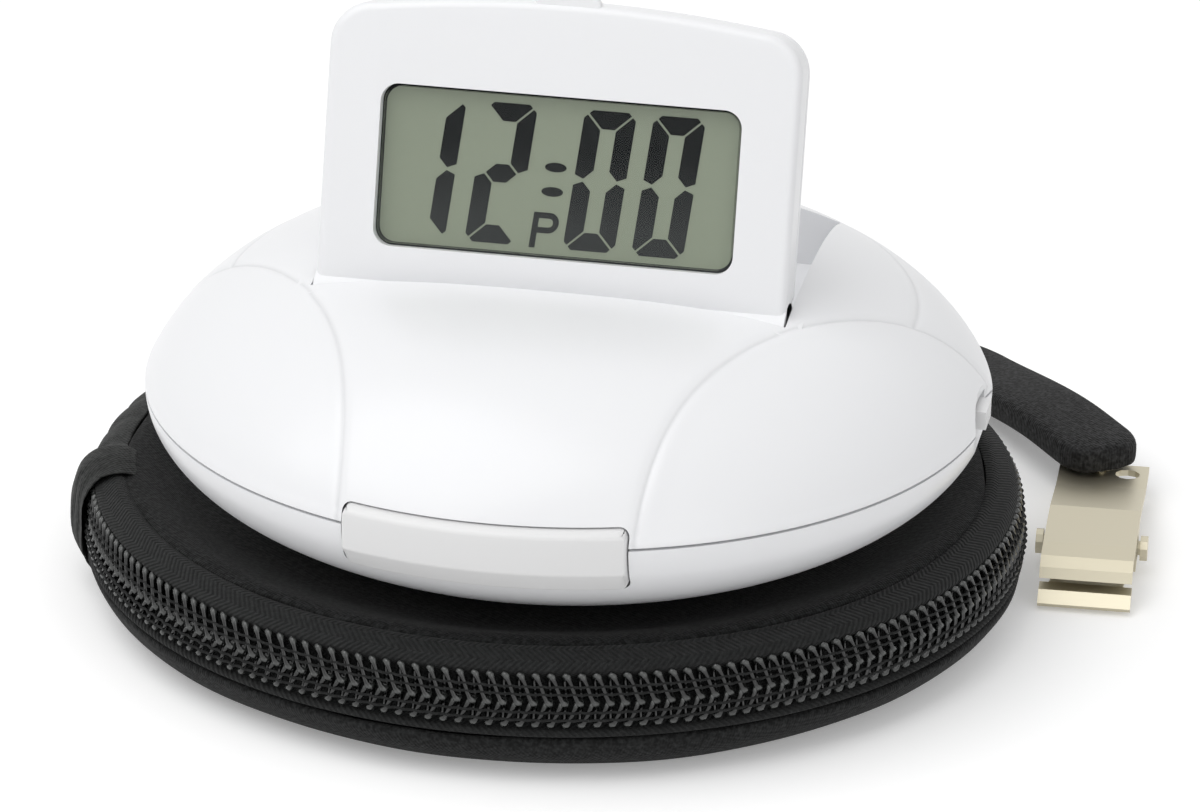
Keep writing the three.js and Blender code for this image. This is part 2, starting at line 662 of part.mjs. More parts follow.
// Clock shells as solids of revolution about the clock axis
const clockPlace = new THREE.Matrix4().makeTranslation(CLOCK_X, CLOCK_Y, 0);
const DOME_STEPS = [1, 0.996, 0.985, 0.96, 0.925, 0.88, 0.81, 0.72, 0.6, 0.42, 0];
const HIDDEN_STEPS = [1, 0.98, 0.93, 0.84, 0.7, 0.5, 0];
const domeRise = (f) => (1 - f ** DOME_FLAT) ** (1 / DOME_ROUND);
const domeZ = (r) => SEAM_Z + DOME_H * domeRise(Math.min(1, r / CLOCK_R));
function domeSolid(radius, height, floorZ, steps, segments) {
  const skin = steps.map((f) => [radius * f, Math.max(floorZ, SEAM_Z + height * domeRise(f))]);
  return body(revolve([[0, floorZ], [radius, floorZ], ...skin.slice(1)], segments));
}
function bellySolid(radius, height, floorZ, topZ, steps, segments) {
  const profile = [[0, floorZ]];
  for (let i = 0; i <= steps; i += 1) {
    const drop = (SEAM_Z - floorZ) * (1 - i / steps);
    profile.push([radius * Math.sqrt(1 - (drop / height) ** 2), SEAM_Z - drop]);
  }
  profile.at(-1)[1] = topZ;
  profile.push([0, topZ]);
  return body(revolve(profile, segments));
}

// Hinge line of the display and the well it folds into
const lean = deg(PANEL_LEAN);
const hingeY = PANEL_FOOT_Y + HINGE_S * Math.sin(lean) + BARREL_R * Math.cos(lean);
const hingeZ = PANEL_FOOT_Z + HINGE_S * Math.cos(lean) - BARREL_R * Math.sin(lean);
const wellHalf = PANEL_HALF + WELL_SIDE;
const wellFront = hingeY - BARREL_R - GAP;
const wellRear = hingeY + PANEL_TOP - HINGE_S + 2 * WELL_SIDE;
const foldedUnder = hingeZ + BARREL_R - PANEL_THICK;
const wellFloor = foldedUnder - BUTTON_PROUD - WELL_SIDE;
const wellUnder = wellFloor - WELL_WALL;

// Openings shared by both shells at the seam
const barWay = body(box(
  -BAR_HALF - GAP, BAR_HALF + GAP, -FAR, -CLOCK_R * 0.8,
  SEAM_Z - BAR_BELOW - GAP, SEAM_Z + BAR_ABOVE + GAP,
));
const knobWayY = KNOB_HALF_Y + KNOB_TRAVEL + GAP;
const knobWayZ = KNOB_HALF_Z + GAP;
const knobWay = body(box(CLOCK_R * 0.8, FAR, -knobWayY, knobWayY, SEAM_Z - knobWayZ, SEAM_Z + knobWayZ));
const scoopX = CLOCK_R - SCOOP_DEPTH + SCOOP_R;
const scoop = body(new THREE.SphereGeometry(SCOOP_R, 36, 20).rotateX(Math.PI / 2).translate(scoopX, 0, SEAM_Z));

// Screw places: two at the front, one at each side
const screwSpots = [
  ['front_right', FRONT_SCREW[0], FRONT_SCREW[1]],
  ['front_left', -FRONT_SCREW[0], FRONT_SCREW[1]],
  ['side_right', SIDE_SCREW[0], SIDE_SCREW[1]],
  ['side_left', -SIDE_SCREW[0], SIDE_SCREW[1]],
];
const screwHeadZ = BASE_Z + SCREW_RECESS;
const screwSeatZ = screwHeadZ + SCREW_HEAD;
const lowerBossTop = screwSeatZ + GAP + WALL;
const screwTip = screwSeatZ + SCREW_LENGTH;
const bossR = SCREW_R + GAP + BOSS_WALL;

// Line moulded into the dome: a shallow V swept along plan points
function groove(plan) {
  const path = plan.map(([x, y]) => new THREE.Vector3(x, y, domeZ(Math.hypot(x, y))));
  const rings = path.map((p, i) => {
    const before = path[Math.max(0, i - 1)];
    const after = path[Math.min(path.length - 1, i + 1)];
    const along = after.clone().sub(before).normalize();
    const r = Math.hypot(p.x, p.y);
    const slope = (domeZ(r + 0.01) - domeZ(r - 0.01)) / 0.02;
    const normal = new THREE.Vector3(-slope * p.x / r, -slope * p.y / r, 1).normalize();
    const side = new THREE.Vector3().crossVectors(along, normal).normalize();
    const lifted = p.clone().addScaledVector(normal, GROOVE_DEPTH);
    return [
      lifted.clone().addScaledVector(side, 2 * GROOVE_HALF),
      p.clone().addScaledVector(normal, -GROOVE_DEPTH),
      lifted.clone().addScaledVector(side, -2 * GROOVE_HALF),
    ];
  });
  return body(loft(rings, false));
}
function arcPlan(cx, cy, radius, from, to, steps) {
  const plan = [];
  for (let i = 0; i <= steps; i += 1) {
    const angle = deg(from + (to - from) * i / steps);
    plan.push([cx + radius * Math.cos(angle), cy + radius * Math.sin(angle)]);
  }
  return plan;
}
const PETAL_FROM = 174.6;
const PETAL_TO = 124.5;
const REAR_FROM = 9;
const rightPetal = arcPlan(PETAL_X, PETAL_Y, PETAL_R, PETAL_FROM, PETAL_TO, 12);
const leftPetal = rightPetal.map(([x, y]) => [-x, y]).reverse();
const rearLine = arcPlan(0, 0, REAR_LINE_R, REAR_FROM, 180 - REAR_FROM, 20);

// Upper shell
const well = box(-wellHalf, wellHalf, wellFront, wellRear, wellFloor, FAR);
const wellBlock = box(
  -wellHalf - WELL_WALL, wellHalf + WELL_WALL,
  wellFront - WELL_WALL, wellRear + WELL_REAR_WALL, wellUnder, FAR,
);
const tabWay = box(
  -TAB_HALF - 1.5, TAB_HALF + 1.5, wellRear - 1, wellRear + TAB_PROUD + 1,
  hingeZ + BARREL_R - 2.3, FAR,
);
const domeOuter = domeSolid(CLOCK_R, DOME_H, SEAM_Z + GAP / 2, DOME_STEPS, ROUND);
const domeRoom = domeSolid(CLOCK_R - WALL, DOME_H - WALL, SEAM_Z - 1, HIDDEN_STEPS, HIDDEN_ROUND);
const domeCavity = domeRoom.subtract(body(wellBlock));
let upperBosses = null;
for (const [, x, y] of screwSpots) {
  const tower = body(post(bossR, x, y, lowerBossTop + GAP, domeZ(Math.hypot(x, y)) - WALL / 2));
  upperBosses = upperBosses ? upperBosses.add(tower) : tower;
}
let upper = domeOuter.subtract(domeCavity).add(upperBosses);
for (const [, x, y] of screwSpots) {
  upper = upper.subtract(body(post(SCREW_R + GAP, x, y, 0, screwTip + 1)));
}
const buttonX = [-1.5, -0.5, 0.5, 1.5].map((i) => i * BUTTON_PITCH);
upper = upper.subtract(body(well)).subtract(body(tabWay)).subtract(barWay).subtract(knobWay).subtract(scoop);
for (const x of buttonX) {
  upper = upper.subtract(body(post(BUTTON_R + GAP, x, BUTTON_Y, wellUnder - 1, wellFloor + 1, 16)));
}
const hingeWay = body(bar(HINGE_PIN_R + GAP, -wellHalf - WELL_WALL - 1, wellHalf + WELL_WALL + 1, hingeY, hingeZ));
upper = upper.subtract(hingeWay).subtract(groove(rightPetal)).subtract(groove(leftPetal)).subtract(groove(rearLine));
add('upper_shell', upper, WHITE, 0.25, 0, clockPlace);

// Lower shell with the battery way running out to the rear
const bellyOuter = bellySolid(CLOCK_R, BELLY_H, BASE_Z, SEAM_Z - GAP / 2, 7, ROUND);
const bellyCavity = bellySolid(
  CLOCK_R - WALL, BELLY_H - WALL, BASE_Z + WALL, SEAM_Z + 1, 5, HIDDEN_ROUND,
);
let lower = bellyOuter.subtract(bellyCavity);
for (const [, x, y] of screwSpots) {
  const boss = body(post(SCREW_HEAD_R + GAP + 0.8, x, y, BASE_Z, lowerBossTop));
  lower = lower.add(boss.intersect(bellyOuter));
}
for (const [, x, y] of screwSpots) {
  lower = lower.subtract(body(post(SCREW_HEAD_R + GAP, x, y, 0, screwSeatZ + GAP)));
  lower = lower.subtract(body(post(SCREW_R + GAP, x, y, 0, FAR)));
}
const doorTop = BASE_Z + DOOR_THICK;
const doorWay = box(-DOOR_HALF - GAP, DOOR_HALF + GAP, DOOR_FRONT - GAP, FAR, 0, doorTop + GAP);
lower = lower.subtract(body(doorWay)).subtract(barWay).subtract(knobWay).subtract(scoop);
const footTop = BASE_Z + FOOT_SINK;
const footWay = (x, y) => body(post(FOOT_R + GAP, x, y, 0, footTop + GAP, 18));
for (const side of [-1, 1]) lower = lower.subtract(footWay(side * FRONT_FOOT[0], FRONT_FOOT[1]));
add('lower_shell', lower, WHITE, 0.25, 0, clockPlace);

// Battery door slides out to the rear
let door = body(box(-DOOR_HALF, DOOR_HALF, DOOR_FRONT, FAR, BASE_Z, doorTop)).intersect(bellyOuter);
for (const side of [-1, 1]) door = door.subtract(footWay(side * REAR_FOOT[0], REAR_FOOT[1]));
add('battery_door', door, WHITE, 0.35, 0, clockPlace);

// Rubber feet, the rear pair on the door
const footSpots = [
  ['foot_front_right', FRONT_FOOT[0], FRONT_FOOT[1]],
  ['foot_front_left', -FRONT_FOOT[0], FRONT_FOOT[1]],
  ['foot_rear_right', REAR_FOOT[0], REAR_FOOT[1]],
  ['foot_rear_left', -REAR_FOOT[0], REAR_FOOT[1]],
];
for (const [name, x, y] of footSpots) {
  add(name, post(FOOT_R, x, y, LID_TOP_Z + GAP, footTop, 18), BLACK, 0.9, 0, clockPlace);
}

// Screws
for (const [name, x, y] of screwSpots) {
  const screw = body(post(SCREW_HEAD_R, x, y, screwHeadZ, screwSeatZ))
    .add(body(post(SCREW_R, x, y, screwSeatZ - 0.2, screwTip)));
  add(`screw_${name}`, screw, STEEL, 0.35, 1, clockPlace);
}

// Bar button: a curved slice of the rim standing slightly proud
const barTop = SEAM_Z + BAR_ABOVE;
const barFoot = SEAM_Z - BAR_BELOW;
const barR = CLOCK_R + BAR_PROUD;
const barFootR = CLOCK_R * Math.sqrt(1 - (BAR_BELOW / BELLY_H) ** 2) + BAR_PROUD;
const barSection = [
  [barR - 0.75, barTop],
  [barR - 0.1, barTop - 0.5],
  [barR, barTop - 1.2],
  [barR, SEAM_Z - BAR_BREAK],
  [barR - 0.4, SEAM_Z - BAR_BREAK - 0.9],
  [barFootR, barFoot],
  [barFootR - BAR_DEPTH, barFoot],
  [barR - BAR_DEPTH - 0.4, barTop],
];
const barTurn = THREE.MathUtils.radToDeg(Math.asin(BAR_HALF / barR));
add('snooze_bar', sweep(() => barSection, -90 - barTurn, -90 + barTurn, 16), IVORY, 0.35, 0, clockPlace);

// Switch knob: post through the slot, keeper plate inside
const plateX = CLOCK_R - WALL - 2;
const keeperHalfY = knobWayY + KNOB_TRAVEL + 0.3;
const knob = body(box(plateX - 0.2, CLOCK_R, -KNOB_HALF_Y, KNOB_HALF_Y, SEAM_Z - KNOB_HALF_Z, SEAM_Z + KNOB_HALF_Z))
  .add(body(box(plateX - KNOB_PLATE, plateX, -keeperHalfY, keeperHalfY, SEAM_Z - 2, SEAM_Z + 2)));
add('mode_switch', knob, IVORY, 0.4, 0, clockPlace);

// Set buttons in the well floor, flanged underneath
const flangeTop = wellUnder - GAP;
buttonX.forEach((x, i) => {
  const cap = body(post(BUTTON_R, x, BUTTON_Y, flangeTop - 0.1, wellFloor + BUTTON_PROUD, 16))
    .add(body(post(BUTTON_R + BUTTON_FLANGE, x, BUTTON_Y, flangeTop - BUTTON_FLANGE, flangeTop, 16)));
  add(`set_button_${i + 1}`, cap, IVORY, 0.45, 0, clockPlace);
});

// Display panel built flat: x across, y up the face, z out of it
const panelBasis = new THREE.Matrix4().makeBasis(
  new THREE.Vector3(1, 0, 0),
  new THREE.Vector3(0, Math.sin(lean), Math.cos(lean)),
  new THREE.Vector3(0, -Math.cos(lean), Math.sin(lean)),
);
const panelPlace = clockPlace.clone()
  .multiply(new THREE.Matrix4().makeTranslation(0, PANEL_FOOT_Y, PANEL_FOOT_Z))
  .multiply(panelBasis);

// Outline with square feet, rounded shoulders and an arched top
function panelOutline(inset, foot) {
  const half = PANEL_HALF - inset;
  const shoulder = PANEL_SHOULDER - inset;
  const crown = PANEL_TOP - inset;
  const corner = PANEL_CORNER;
  const shape = new THREE.Shape();
  shape.moveTo(-half, foot);
  shape.lineTo(half, foot);
  shape.lineTo(half, shoulder - corner);
  shape.quadraticCurveTo(half, shoulder - 0.3, half - corner, shoulder);
  shape.quadraticCurveTo(half * 0.4, crown, 0, crown);
  shape.quadraticCurveTo(-half * 0.4, crown, corner - half, shoulder);
  shape.quadraticCurveTo(-half, shoulder - 0.3, -half, shoulder - corner);
  return shape;
}
function slab(shape, back, front, bevel) {
  const geometry = new THREE.ExtrudeGeometry(shape, {
    depth: front - back - 2 * bevel,
    bevelEnabled: bevel > 0,
    bevelThickness: bevel,
    bevelSize: bevel,
    bevelOffset: -bevel,
    bevelSegments: 2,
    curveSegments: 7,
  });
  return body(geometry.translate(0, 0, back + bevel));
}
function roundedRect(width, height, foot, corner) {
  const shape = new THREE.Shape();
  const half = width / 2;
  const top = foot + height;
  shape.moveTo(corner - half, foot);
  shape.lineTo(half - corner, foot);
  shape.absarc(half - corner, foot + corner, corner, -Math.PI / 2, 0);
  shape.absarc(half - corner, top - corner, corner, 0, Math.PI / 2);
  shape.absarc(corner - half, top - corner, corner, Math.PI / 2, Math.PI);
  shape.absarc(corner - half, foot + corner, corner, Math.PI, Math.PI * 1.5);
  return shape;
}

const bezelBack = COVER_THICK + GAP - PANEL_THICK;
const hingeN = -BARREL_R;
const barrel = body(bar(BARREL_R, -PANEL_HALF, PANEL_HALF, HINGE_S, hingeN, 24));
const tab = body(box(-TAB_HALF, TAB_HALF, PANEL_TOP - 2, PANEL_TOP + TAB_PROUD, -1.8, -0.3));
const cavity = slab(panelOutline(RIM_WALL, 0.9), bezelBack - 1, -FACE_WALL, 0);
const pane = slab(roundedRect(WINDOW_W, WINDOW_H, WINDOW_S, WINDOW_CORNER), -FACE_WALL - 1, 1, 0);
const pinInner = PANEL_HALF - HINGE_PIN_IN;
const rightPinWay = body(bar(HINGE_PIN_R + GAP, pinInner - GAP, FAR, HINGE_S, hingeN));
const leftPinWay = body(bar(HINGE_PIN_R + GAP, -FAR, GAP - pinInner, HINGE_S, hingeN));
const bezel = slab(panelOutline(0, HINGE_S), bezelBack, 0, PANEL_BEVEL)
  .add(barrel)
  .add(tab)
  .subtract(cavity)
  .subtract(pane)
  .subtract(rightPinWay)
  .subtract(leftPinWay);
add('display_bezel', bezel, WHITE, 0.25, 0, panelPlace);

const coverFoot = HINGE_S + BARREL_R + 2 * GAP;
const cover = slab(panelOutline(0, coverFoot), -PANEL_THICK, bezelBack - GAP, 0.5);
add('display_cover', cover, WHITE, 0.3, 0, panelPlace);

// Stack behind the window
const lensShape = roundedRect(WINDOW_W - 2 * GAP, WINDOW_H - 2 * GAP, WINDOW_S + GAP, WINDOW_CORNER - GAP);
const lensFront = -0.4;
add('display_window', slab(lensShape, lensFront - LENS_THICK, lensFront, 0), 0xdfe6e2, 0.08, 0, panelPlace);
const stackHalf = WINDOW_W / 2 + LCD_MARGIN;
const stackFoot = WINDOW_S - LCD_MARGIN;
const stackTop = WINDOW_S + WINDOW_H + LCD_MARGIN;
const layer = (front, thick) => box(-stackHalf, stackHalf, stackFoot, stackTop, front - thick, front);
const lcdFront = -FACE_WALL - GAP;
const lightFront = lcdFront - LCD_THICK - GAP;
const driverFront = lightFront - LAYER_THICK - GAP;
add('lcd_glass', layer(lcdFront, LCD_THICK), 0x9da18f, 0.2, 0, panelPlace);
add('backlight', layer(lightFront, LAYER_THICK), 0xd9e4d8, 0.5, 0, panelPlace);
add('display_board', layer(driverFront, LAYER_THICK), GREEN, 0.6, 0, panelPlace);

// Hinge pins through the well walls into the panel
const pinOuter = wellHalf + WELL_WALL;
add('hinge_pin_right', bar(HINGE_PIN_R, pinInner, pinOuter, hingeY, hingeZ), STEEL, 0.3, 1, clockPlace);
add('hinge_pin_left', bar(HINGE_PIN_R, -pinOuter, -pinInner, hingeY, hingeZ), STEEL, 0.3, 1, clockPlace);

// Battery tray, open below
const cellZ = doorTop + GAP + CELL_R;
const trayHalfX = CELL_LENGTH / 2 + SPRING_ROOM / 2 + CONTACT + TRAY_WALL + 3 * GAP;
const trayHalfY = CELL_SPACING / 2 + CELL_R + GAP + TRAY_WALL;
const trayTop = cellZ + CELL_R + GAP + TRAY_WALL;
const trayFoot = doorTop + 3 * GAP;
const tray = body(box(-trayHalfX, trayHalfX, -trayHalfY, trayHalfY, trayFoot, trayTop)).subtract(body(box(
  TRAY_WALL - trayHalfX, trayHalfX - TRAY_WALL, TRAY_WALL - trayHalfY, trayHalfY - TRAY_WALL,
  0, trayTop - TRAY_WALL,
)));
add('battery_tray', tray, 0x3a3d40, 0.6, 0, clockPlace);

// Cells lie head to tail, each pressed toward its contact by a spring
const contactIn = trayHalfX - TRAY_WALL - GAP - CONTACT;
const contactZ = [trayFoot + 0.3, trayTop - TRAY_WALL - GAP];
const contactY = trayHalfY - TRAY_WALL - GAP;
const contactBox = (x) => box(x, x + CONTACT, -contactY, contactY, ...contactZ);
add('contact_right', contactBox(contactIn), BRASS, 0.3, 1, clockPlace);
add('contact_left', contactBox(-contactIn - CONTACT), BRASS, 0.3, 1, clockPlace);
function springCoil() {
  const rings = [];
  const room = SPRING_ROOM - 2 * GAP - 2 * SPRING_WIRE;
  const perTurn = 10;
  const steps = Math.round(SPRING_TURNS * perTurn);
  for (let i = 0; i <= steps; i += 1) {
    const part = i / steps;
    const turn = 2 * Math.PI * i / perTurn;
    const radius = SPRING_R * (1 - 0.25 * part);
    const ring = [];
    for (let j = 0; j < 5; j += 1) {
      const about = 2 * Math.PI * j / 5;
      const r = radius + SPRING_WIRE * Math.cos(about);
      const x = GAP + SPRING_WIRE + room * part + SPRING_WIRE * Math.sin(about);
      ring.push(new THREE.Vector3(x, r * Math.cos(turn), r * Math.sin(turn)));
    }
    rings.push(ring);
  }
  return loft(rings, false);
}
[['a', 1], ['b', -1]].forEach(([name, side]) => {
  const y = -side * CELL_SPACING / 2;
  const nubEnd = contactIn - GAP;
  const canEnd = nubEnd - CELL_NUB;
  const can = body(bar(CELL_R, nubEnd - CELL_LENGTH, canEnd, 0, 0, 18));
  const nub = body(bar(CELL_NUB_R, canEnd - 0.2, nubEnd, 0, 0));
  const flip = new THREE.Matrix4().makeRotationZ(side > 0 ? 0 : Math.PI);
  const lay = new THREE.Matrix4().makeTranslation(0, y, cellZ).multiply(flip);
  add(`cell_${name}`, can.add(nub), 0x8a6a3a, 0.35, 0.6, clockPlace.clone().multiply(lay));
  const spring = springCoil().translate(-contactIn, 0, 0);
  add(`cell_spring_${name}`, spring, STEEL, 0.3, 1, clockPlace.clone().multiply(lay));
});

// Main board on the tray, sounder under its rear edge
const boardFoot = trayTop + GAP;
const boardTop = boardFoot + BOARD;
add('main_board', box(-BOARD_HALF, BOARD_HALF, BOARD_FRONT, BOARD_REAR, boardFoot, boardTop), GREEN, 0.6, 0, clockPlace);
const sounder = post(SOUNDER_R, 0, SOUNDER_Y, boardFoot - GAP - SOUNDER_H, boardFoot - GAP, 28);
add('sounder', sounder, BLACK, 0.5, 0, clockPlace);

// Vibration motor in its saddle, with the off-centre weight on its shaft
const motorZ = BASE_Z + WALL + GAP + WEIGHT_R + 1;
const motorEnd = MOTOR_X + MOTOR_LENGTH;
const weightStart = motorEnd + 0.8;
const weightEnd = weightStart + WEIGHT_LENGTH;
const motor = body(bar(MOTOR_R, MOTOR_X, motorEnd, MOTOR_Y, motorZ, 24))
  .add(body(bar(MOTOR_SHAFT_R, motorEnd - 0.5, weightEnd, MOTOR_Y, motorZ)));
add('vibration_motor', motor, STEEL, 0.35, 1, clockPlace);
const weightDisc = body(bar(WEIGHT_R, weightStart, weightEnd, MOTOR_Y, motorZ, 24));
const upperHalf = body(box(0, FAR, MOTOR_Y - FAR, MOTOR_Y + FAR, motorZ + MOTOR_SHAFT_R + 1, FAR));
const shaftWay = body(bar(MOTOR_SHAFT_R + GAP, 0, FAR, MOTOR_Y, motorZ));
add('eccentric_weight', weightDisc.subtract(upperHalf).subtract(shaftWay), BRASS, 0.35, 1, clockPlace);
const saddleBox = box(
  MOTOR_X + 1, motorEnd - 1, MOTOR_Y - MOTOR_R - 1, MOTOR_Y + MOTOR_R + 1,
  BASE_Z + WALL + GAP, motorZ,
);
const motorSeat = body(bar(MOTOR_R + GAP, -FAR, FAR, MOTOR_Y, motorZ, 24));
add('motor_saddle', body(saddleBox).subtract(motorSeat), 0x3a3d40, 0.6, 0, clockPlace);

export default group;
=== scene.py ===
import math

import bmesh
import bpy
from mathutils import Matrix, Vector


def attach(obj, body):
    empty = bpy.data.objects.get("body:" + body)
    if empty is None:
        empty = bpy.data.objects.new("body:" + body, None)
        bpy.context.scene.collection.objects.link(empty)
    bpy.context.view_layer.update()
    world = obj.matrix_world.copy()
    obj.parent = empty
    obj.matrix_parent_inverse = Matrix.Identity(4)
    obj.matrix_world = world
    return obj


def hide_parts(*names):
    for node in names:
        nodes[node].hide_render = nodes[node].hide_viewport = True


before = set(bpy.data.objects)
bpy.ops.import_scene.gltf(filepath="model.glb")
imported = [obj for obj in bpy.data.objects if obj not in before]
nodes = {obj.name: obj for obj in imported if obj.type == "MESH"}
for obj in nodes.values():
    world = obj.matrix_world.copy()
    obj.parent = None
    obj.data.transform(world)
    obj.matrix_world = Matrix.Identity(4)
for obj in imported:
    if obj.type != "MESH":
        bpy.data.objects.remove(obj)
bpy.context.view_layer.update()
MM = 0.001
scene = bpy.context.scene

# Camera at the photo's angle
PHOTO_WIDTH = 1200
FOCAL_PX = 5893
SENSOR_WIDTH = 36
CAMERA_AZ = math.radians(11.18)
CAMERA_EL = math.radians(23.35)
CAMERA_ROLL = math.radians(0.84)
CAMERA_TARGET = Vector((2.2, -5, 20)) * MM
CAMERA_DISTANCE = 629.4 * MM
SHIFT_PX = (31.9, 21.5)


def make_camera():
    back = Vector((
        math.sin(CAMERA_AZ) * math.cos(CAMERA_EL),
        -math.cos(CAMERA_AZ) * math.cos(CAMERA_EL),
        math.sin(CAMERA_EL),
    ))
    level = Vector((math.cos(CAMERA_AZ), math.sin(CAMERA_AZ), 0))
    upright = back.cross(level)
    right = level * math.cos(CAMERA_ROLL) + upright * math.sin(CAMERA_ROLL)
    up = back.cross(right)
    data = bpy.data.cameras.new("camera")
    data.sensor_width = SENSOR_WIDTH
    data.lens = FOCAL_PX / PHOTO_WIDTH * SENSOR_WIDTH
    data.shift_x = SHIFT_PX[0] / PHOTO_WIDTH
    data.shift_y = SHIFT_PX[1] / PHOTO_WIDTH
    data.clip_start = 0.01
    data.clip_end = 20
    camera = bpy.data.objects.new("camera", data)
    spot = CAMERA_TARGET + back * CAMERA_DISTANCE
    turn = Matrix((right, up, back)).transposed().to_4x4()
    camera.matrix_world = Matrix.Translation(spot) @ turn
    scene.collection.objects.link(camera)
    scene.camera = camera


make_camera()
scene.view_settings.view_transform = "Standard"


# Meshes from points in millimetres
def mesh_object(name, points, faces, uvs=None):
    mesh = bpy.data.meshes.new(name)
    mesh.from_pydata([Vector(p) * MM for p in points], [], faces)
    if uvs:
        layer = mesh.uv_layers.new(name="run")
        for loop in mesh.loops:
            layer.data[loop.index].uv = uvs[loop.vertex_index]
    made = bmesh.new()
    made.from_mesh(mesh)
    bmesh.ops.recalc_face_normals(made, faces=made.faces)
    made.to_mesh(mesh)
    made.free()
    mesh.shade_smooth()
    obj = bpy.data.objects.new(name, mesh)
    scene.collection.objects.link(obj)
    return obj


def loft(name, rings, loop=False, caps=True, run=None):
    count = len(rings[0])
    points = [p for ring in rings for p in ring]
    faces = []
    spans = len(rings) if loop else len(rings) - 1
    for i in range(spans):
        here = i * count
        there = (i + 1) % len(rings) * count
        for j in range(count):
            k = (j + 1) % count
            faces.append((here + j, here + k, there + k, there + j))
    if caps and not loop:
        faces.append(tuple(range(count - 1, -1, -1)))
        faces.append(tuple(range(len(points) - count, len(points))))
    uvs = None
    if run:
        uvs = []
        for along, ring in zip(run, rings):
            across = 0
            for j in range(count):
                uvs.append((along, across))
                across += (Vector(ring[(j + 1) % count]) - Vector(ring[j])).length
    return mesh_object(name, points, faces, uvs)


def polar(radius, angle, z):
    return (radius * math.cos(angle), radius * math.sin(angle), z)


def full_turn(count):
    return [2 * math.pi * i / count for i in range(count)]


# Radius at which lengths along the case are counted for the weave
RUN_R = 50


def sweep(name, section_at, start, end, steps, loop=False):
    """Section of (radius, height) points carried round the case axis."""
    rings = []
    run = []
    for i in range(steps if loop else steps + 1):
        degrees = start + (end - start) * i / steps
        rings.append([polar(r, math.radians(degrees), z) for r, z in section_at(degrees)])
        run.append(math.radians(degrees) * RUN_R)
    return loft(name, rings, loop, True, run)


def smooth_line(corners, per_span):
    """Catmull-Rom points through corners."""
    line = []
    for i in range(len(corners) - 1):
        before = corners[max(0, i - 1)]
        here = corners[i]
        there = corners[i + 1]
        after = corners[min(len(corners) - 1, i + 2)]
        for step in range(per_span):
            t = step / per_span
            line.append(tuple(
                0.5 * (2 * b + (c - a) * t + (2 * a - 5 * b + 4 * c - d) * t * t
                       + (3 * b - a - 3 * c + d) * t ** 3)
                for a, b, c, d in zip(before, here, there, after)
            ))
    line.append(tuple(corners[-1]))
    return line


def smoothstep(value, low, high):
    t = min(1, max(0, (value - low) / (high - low)))
    return t * t * (3 - 2 * t)


def apply_modifiers(obj):
    graph = bpy.context.evaluated_depsgraph_get()
    mesh = bpy.data.meshes.new_from_object(obj.evaluated_get(graph))
    obj.modifiers.clear()
    obj.data = mesh


def cut(obj, cutters):
    for tool in cutters:
        step = obj.modifiers.new("cut", "BOOLEAN")
        step.object = tool
        step.operation = "DIFFERENCE"
        step.solver = "EXACT"
    apply_modifiers(obj)
    for tool in cutters:
        bpy.data.objects.remove(tool)


def soften(obj, width, segments=3, angle=35):
    bevel = obj.modifiers.new("soften", "BEVEL")
    bevel.width = width * MM
    bevel.segments = segments
    bevel.limit_method = "ANGLE"
    bevel.angle_limit = math.radians(angle)
    bevel.harden_normals = False
    obj.data.shade_smooth()
    obj.data.set_sharp_from_angle(angle=math.radians(angle + 10))


def block(name, x0, x1, y0, y1, z0, z1):
    points = [(x, y, z) for z in (z0, z1) for y in (y0, y1) for x in (x0, x1)]
    faces = [(0, 2, 3, 1), (4, 5, 7, 6), (0, 1, 5, 4), (2, 6, 7, 3), (0, 4, 6, 2), (1, 3, 7, 5)]
    obj = mesh_object(name, points, faces)
    obj.data.shade_flat()
    return obj


def rod(name, radius, start, end, sides=32):
    axis = (Vector(end) - Vector(start)).normalized()
    across = axis.orthogonal()
    other = axis.cross(across)
    rings = []
    for at in (Vector(start), Vector(end)):
        rings.append([
            tuple(at + (across * math.cos(t) + other * math.sin(t)) * radius) for t in full_turn(sides)
        ])
    return loft(name, rings)


def part(obj, body, material, replaced=()):
    """Piece of the object: rides on a body, takes a material and stands for CAD nodes."""
    obj.data.materials.clear()
    obj.data.materials.append(material)
    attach(obj, body)
    if replaced:
        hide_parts(*replaced)
    return obj


# Materials, all procedural
def shader(name, color, roughness, metallic=0.0, specular=0.5, sheen=0.0):
    material = bpy.data.materials.new(name)
    material.use_nodes = True
    node = material.node_tree.nodes["Principled BSDF"]
    node.inputs["Base Color"].default_value = (*color, 1)
    node.inputs["Roughness"].default_value = roughness
    node.inputs["Metallic"].default_value = metallic
    node.inputs["Specular IOR Level"].default_value = specular
    node.inputs["Sheen Weight"].default_value = sheen
    return material


def add_node(material, kind, **settings):
    node = material.node_tree.nodes.new(kind)
    for key, value in settings.items():
        setattr(node, key, value)
    return node


def join(material, source, target):
    material.node_tree.links.new(source, target)


def math_node(material, operation, *values):
    node = add_node(material, "ShaderNodeMath", operation=operation)
    for socket, value in zip(node.inputs, values):
        if isinstance(value, (int, float)):
            socket.default_value = value
        else:
            join(material, value, socket)
    return node.outputs[0]


def object_parts(material):
    """Object coordinates split into X, Y and Z."""
    place = add_node(material, "ShaderNodeTexCoord")
    parts = add_node(material, "ShaderNodeSeparateXYZ")
    join(material, place.outputs["Object"], parts.inputs["Vector"])
    return parts.outputs


def bump(material, height, distance):
    node = add_node(material, "ShaderNodeBump")
    node.inputs["Strength"].default_value = 1
    node.inputs["Distance"].default_value = distance * MM
    join(material, height, node.inputs["Height"])
    join(material, node.outputs["Normal"], material.node_tree.nodes["Principled BSDF"].inputs["Normal"])


